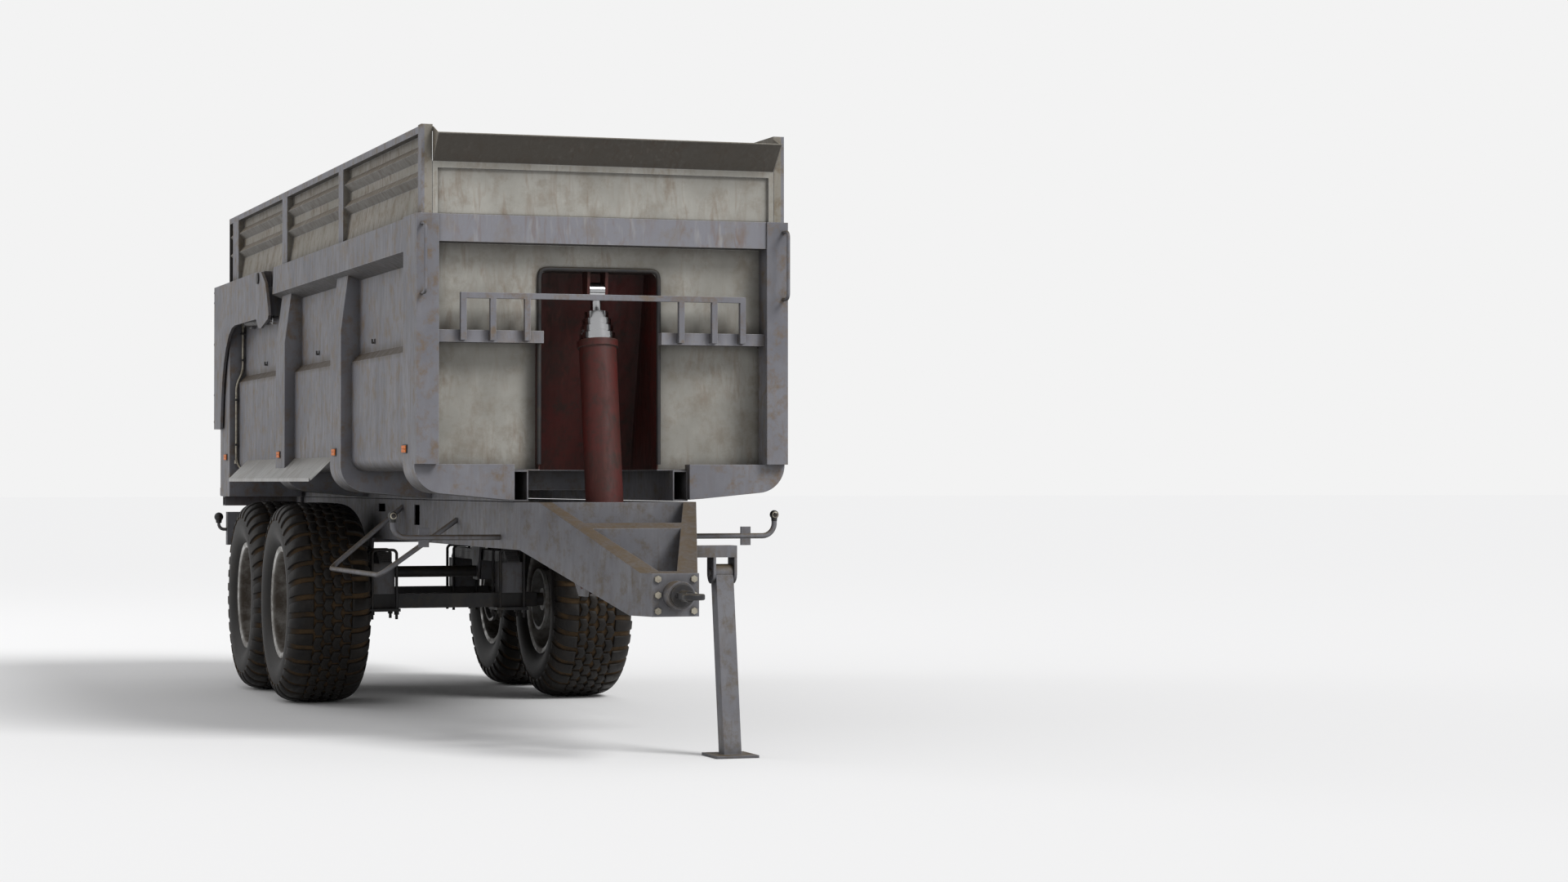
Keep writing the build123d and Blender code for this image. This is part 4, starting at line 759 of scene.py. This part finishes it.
def makeWheels():
    templates = {"tyre": makeTyre(tyreSettings), "rim": makeRim(rimSettings), "hub": makeHub(hubSettings),
                 "wheelNuts": makeNuts(hubSettings)}
    finishes = {"tyre": "tyre_rubber", "rim": "wheel_steel", "hub": "hub_steel", "wheelNuts": "zinc_bolts"}
    turns = {("front", "right"): 0.0, ("rear", "right"): 2.1, ("front", "left"): 4.4, ("rear", "left"): 1.3}
    for (axle, side), turn in turns.items():
        low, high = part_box(f"tyre_{axle}_{side}")
        place = (Matrix.Translation((low + high) / 2) @ Matrix.Scale(sides[side], 4, (0, 1, 0))
                 @ Matrix.Rotation(math.radians(turn), 4, "Y"))
        for kind, template in templates.items():
            bm = template.copy()
            bmesh.ops.transform(bm, matrix=place, verts=bm.verts)
            cadNode = () if kind == "wheelNuts" else (f"{kind}_{axle}_{side}",)
            placePiece(f"{kind}Detail_{axle}_{side}", bm, finishes[kind], f"wheel_{axle}_{side}", cadNode,
                       sharp=48.0 if kind == "tyre" else 34.0)
    for template in templates.values():
        template.free()


makeWheels()
print("wheels ready")


# ---- fittings on the body ----
markerSettings = {"stations": (0.300, 2.420, 4.450, 6.780), "height": 1.687, "length": 0.115, "tall": 0.050,
                  "base": 0.006, "rib": 0.006, "ribSunk": 0.001, "border": 0.004, "gap": 0.0006,
                  "columns": 9, "rows": 2}
hookSettings = {"stations": (1.731, 3.580, 5.624), "height": 2.361, "rise": 0.030, "width": 0.018,
                "sunk": 0.002, "plate": 0.006, "reach": 0.018, "barDrop": (0.008, 0.010), "horn": 0.014,
                "barRadius": 0.006}
pipeSettings = {"station": 6.592, "high": 2.70, "jogHigh": 2.335, "jogLow": 2.235, "low": 1.640,
                "radius": 0.0085, "offset": 0.022, "bend": 0.10, "lastRun": 0.08, "tail": (0.03, 0.04, 0.05),
                "clips": (2.62, 2.42, 2.12, 1.78), "clipHalf": (0.016, 0.008), "clipSunk": 0.002,
                "clipReach": 0.034, "boltSide": 0.009, "boltReach": (0.032, 0.040), "boltRadius": 0.006,
                "unionUp": 0.01, "unionDown": 0.02, "union": 0.014}
lampSettings = {"places": {"front": (0.400, 1.150, 1.305, 0.027), "rear": (6.730, 1.163, 1.234, 0.034)},
                "foot": 0.012, "footTop": 0.6, "footRadius": 0.62, "footHead": 0.7,
                "hoopFrom": 0.55, "hoopTo": 0.93, "hoopRadius": 0.80, "hoopHead": 0.60,
                "lensRadius": 0.52, "lensFlat": 0.45, "lensAhead": 0.9}
trimSettings = {"half": 0.356, "top": 2.720, "low": 1.60, "station": 0.143, "radius": 0.013, "corner": 0.06,
                "cornerCut": 0.4, "between": (1.9, 2.2)}
endSettings = {"front": 6.901, "rear": 6.909, "inner": 1.002, "outer": 1.058, "low": 3.006, "high": 3.508}
stripSettings = {"front": 2.930, "root": 1.657, "reach": halfWidth + 0.072, "low": 1.526, "sheet": 0.004,
                 "gap": 0.001,
                 # the folded edge, as (ahead, up)
                 "fold": [(0.004, 0.0015), (0.012, 0.002), (0.022, -0.001), (0.052, -0.016)]}
boltSettings = {"heights": (2.960, 2.882, 2.561, 2.169, 1.963), "inset": 0.016, "sunk": 0.002,
                "radius": 0.014, "height": 0.009, "washer": 0.002, "washerOver": 0.004}


def makeMarkers(settings):
    lens, base = bmesh.new(), bmesh.new()
    length, tall, border, gap = (settings[key] for key in ("length", "tall", "border", "gap"))
    stepX = (length - 2 * border) / settings["columns"]
    stepZ = (tall - 2 * border) / settings["rows"]
    seat, z0 = halfWidth + settings["base"], settings["height"] - tall / 2
    for sign in sides.values():
        outer = sorted((sign * halfWidth, sign * seat))
        face = sorted((sign * (seat - settings["ribSunk"]), sign * (seat + settings["rib"])))
        for station in settings["stations"]:
            x0 = at(station + length / 2)
            addBlock(base, (x0, outer[0], z0), (x0 + length, outer[1], z0 + tall), 0.0025)
            for column in range(settings["columns"]):
                for row in range(settings["rows"]):
                    low = (x0 + border + column * stepX + gap, face[0], z0 + border + row * stepZ + gap)
                    high = (low[0] + stepX - 2 * gap, face[1], low[2] + stepZ - 2 * gap)
                    addBlock(lens, low, high, 0.0022, 1)
    placePiece("sideReflectors", lens, "amber_lens", "tipper", ("side_markers",))
    placePiece("reflectorBases", base, "lamp_rubber", "tipper")


def makeHooks(settings):
    bm = bmesh.new()
    z, radius, horn = settings["height"], settings["barRadius"], settings["horn"]
    rootDrop, tipDrop = settings["barDrop"]
    back, face = panelUpper - settings["sunk"], panelUpper + settings["plate"]
    halfX, halfZ = settings["width"] / 2, settings["rise"] / 2
    for sign in sides.values():
        y, tip = sign * panelUpper, sign * (panelUpper + settings["reach"])
        inner, outer = sorted((sign * back, sign * face))
        for x in [at(station) for station in settings["stations"]]:
            addBlock(bm, (x - halfX, inner, z - halfZ), (x + halfX, outer, z + halfZ), 0.002)
            addRod(bm, (x, y, z - rootDrop), (x, tip, z - tipDrop), radius, 12)
            addRod(bm, (x, tip, z - horn), (x, tip, z + horn), radius, 12, 0.001)
    placePiece("sheetHooks", bm, "dark_steel", "tipper")


def makePipe(settings):
    # one pipe only, on the right
    x, sign, offset = at(settings["station"]), sides["right"], settings["offset"]
    high, low = sign * (panelUpper + offset), sign * (panelLower + offset)
    jogHigh, jogLow, bend, end = settings["jogHigh"], settings["jogLow"], settings["bend"], settings["low"]
    tail = settings["tail"]
    line = [(x, high, settings["high"]), (x, high, jogHigh + bend), (x, high, jogHigh), (x, low, jogLow),
            (x, low, jogLow - bend), (x, low, end + settings["lastRun"]), (x, low, end),
            (x + tail[0], low + tail[1], end - tail[2])]
    addPipe("gatePipe", line, settings["radius"], "zinc_bolts", "tipper")
    clips, unions = bmesh.new(), bmesh.new()
    halfX, halfZ = settings["clipHalf"]
    for z in settings["clips"]:
        face = panelUpper if z > jogHigh else panelLower
        y = sorted((sign * (face - settings["clipSunk"]), sign * (face + settings["clipReach"])))
        addBlock(clips, (x - halfX, y[0], z - halfZ), (x + halfX, y[1], z + halfZ), 0.003)
        root, head = ((x - settings["boltSide"], sign * (face + reach), z) for reach in settings["boltReach"])
        addRod(clips, root, head, settings["boltRadius"], 6)
    union = settings["union"]
    for z, y in ((settings["high"] - settings["unionDown"], high), (end + settings["unionUp"], low)):
        addRod(unions, (x, y, z - union), (x, y, z + union), union, 6, 0.002)
    placePiece("gatePipeClips", clips, "dark_steel", "tipper")
    placePiece("gatePipeUnions", unions, "zinc_bolts", "tipper")


def makeMarkerLamps(settings):
    # sizes are shares of the lamp's radius, but for the foot's own height
    shell, ring, lens = bmesh.new(), bmesh.new(), bmesh.new()
    front, up = Vector((1.0, 0.0, 0.0)), Vector((0.0, 0.0, 1.0))
    for sign in sides.values():
        for end, (station, y, z, radius) in settings["places"].items():
            middle = Vector((at(station), sign * y, z))
            made = bmesh.ops.create_uvsphere(shell, u_segments=32, v_segments=20, radius=radius)["verts"]
            bmesh.ops.translate(shell, vec=middle, verts=made)
            addRod(shell, middle - up * (radius + settings["foot"]),
                   middle - up * (radius * settings["footTop"]), radius * settings["footRadius"], 24, 0.002,
                   radius * settings["footHead"])
            hoop = ring if end == "front" else shell       # the rear lamps are all black
            addRod(hoop, middle + front * radius * settings["hoopFrom"],
                   middle + front * radius * settings["hoopTo"], radius * settings["hoopRadius"], 28, 0.0015,
                   radius * settings["hoopHead"])
            made = bmesh.ops.create_uvsphere(lens, u_segments=24, v_segments=14,
                                             radius=radius * settings["lensRadius"])["verts"]
            bmesh.ops.scale(lens, vec=(settings["lensFlat"], 1.0, 1.0), verts=made)
            bmesh.ops.translate(lens, vec=middle + front * radius * settings["lensAhead"], verts=made)
    placePiece("outlineLamps", shell, "lamp_rubber", "chassis", ("marker_lamps",))
    placePiece("outlineLampRings", ring, "zinc_bolts", "chassis")
    placePiece("outlineLampLenses", lens, "amber_lens", "chassis", look="smoke_lens")


def makeWellTrim(settings):
    # up one side of the opening, over the top and down the other
    x, half, top, corner = at(settings["station"]), settings["half"], settings["top"], settings["corner"]
    cut = corner * settings["cornerCut"]
    rise = [(-half, z) for z in (settings["low"], *settings["between"], top - 2 * corner, top - cut)]
    rise += [(-half + cut, top), (-half + 2 * corner, top)]
    line = rise + [(0.0, top)] + [(-y, z) for y, z in reversed(rise)]
    addPipe("wellTrim", [(x, y, z) for y, z in line], settings["radius"], "dark_steel", "tipper")


def makeEndPlates(settings):
    # flat bars that close the rear ends of the extension's corrugated sides
    bm = bmesh.new()
    for sign in sides.values():
        inner, outer = sorted((sign * settings["inner"], sign * settings["outer"]))
        addBlock(bm, (at(settings["rear"]), inner, settings["low"]),
                 (at(settings["front"]), outer, settings["high"]), 0.0015, 1)
    placePiece("extensionEndPlates", bm, "dark_steel", "tipper")


def makeStripLips(settings):
    # the front edge of each mudguard strip is folded down and forward
    bm = bmesh.new()
    front = at(settings["front"])
    ends = ((panelLower + settings["gap"], settings["root"]), (settings["reach"], settings["low"]))
    for sign in sides.values():
        root, rim = ([bm.verts.new((front + ahead, sign * y, z + up)) for ahead, up in settings["fold"]]
                     for y, z in ends)
        for a, b, c, d in zip(root, root[1:], rim[1:], rim):
            bm.faces.new((a, b, c, d))
    bmesh.ops.recalc_face_normals(bm, faces=bm.faces)
    bmesh.ops.solidify(bm, geom=bm.faces[:], thickness=settings["sheet"])
    placePiece("mudguardLips", bm, "worn_steel", "tipper")


def makeArmBolts(settings):
    low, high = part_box("tailgate_arms")
    bm = bmesh.new()
    root, radius = low.x + settings["sunk"], settings["radius"]
    for sign in sides.values():
        y = sign * (high.y - settings["inset"])
        for z in settings["heights"]:
            addRod(bm, (root, y, z), (low.x - settings["height"], y, z), radius, 6, 0.002)
            addRod(bm, (root, y, z), (low.x - settings["washer"], y, z), radius + settings["washerOver"], 20)
    placePiece("armBolts", bm, "dark_steel", "tailgate")


makeMarkers(markerSettings)
makeHooks(hookSettings)
makePipe(pipeSettings)
makeMarkerLamps(lampSettings)
makeWellTrim(trimSettings)
makeEndPlates(endSettings)
makeStripLips(stripSettings)
makeArmBolts(boltSettings)
print("fittings ready")
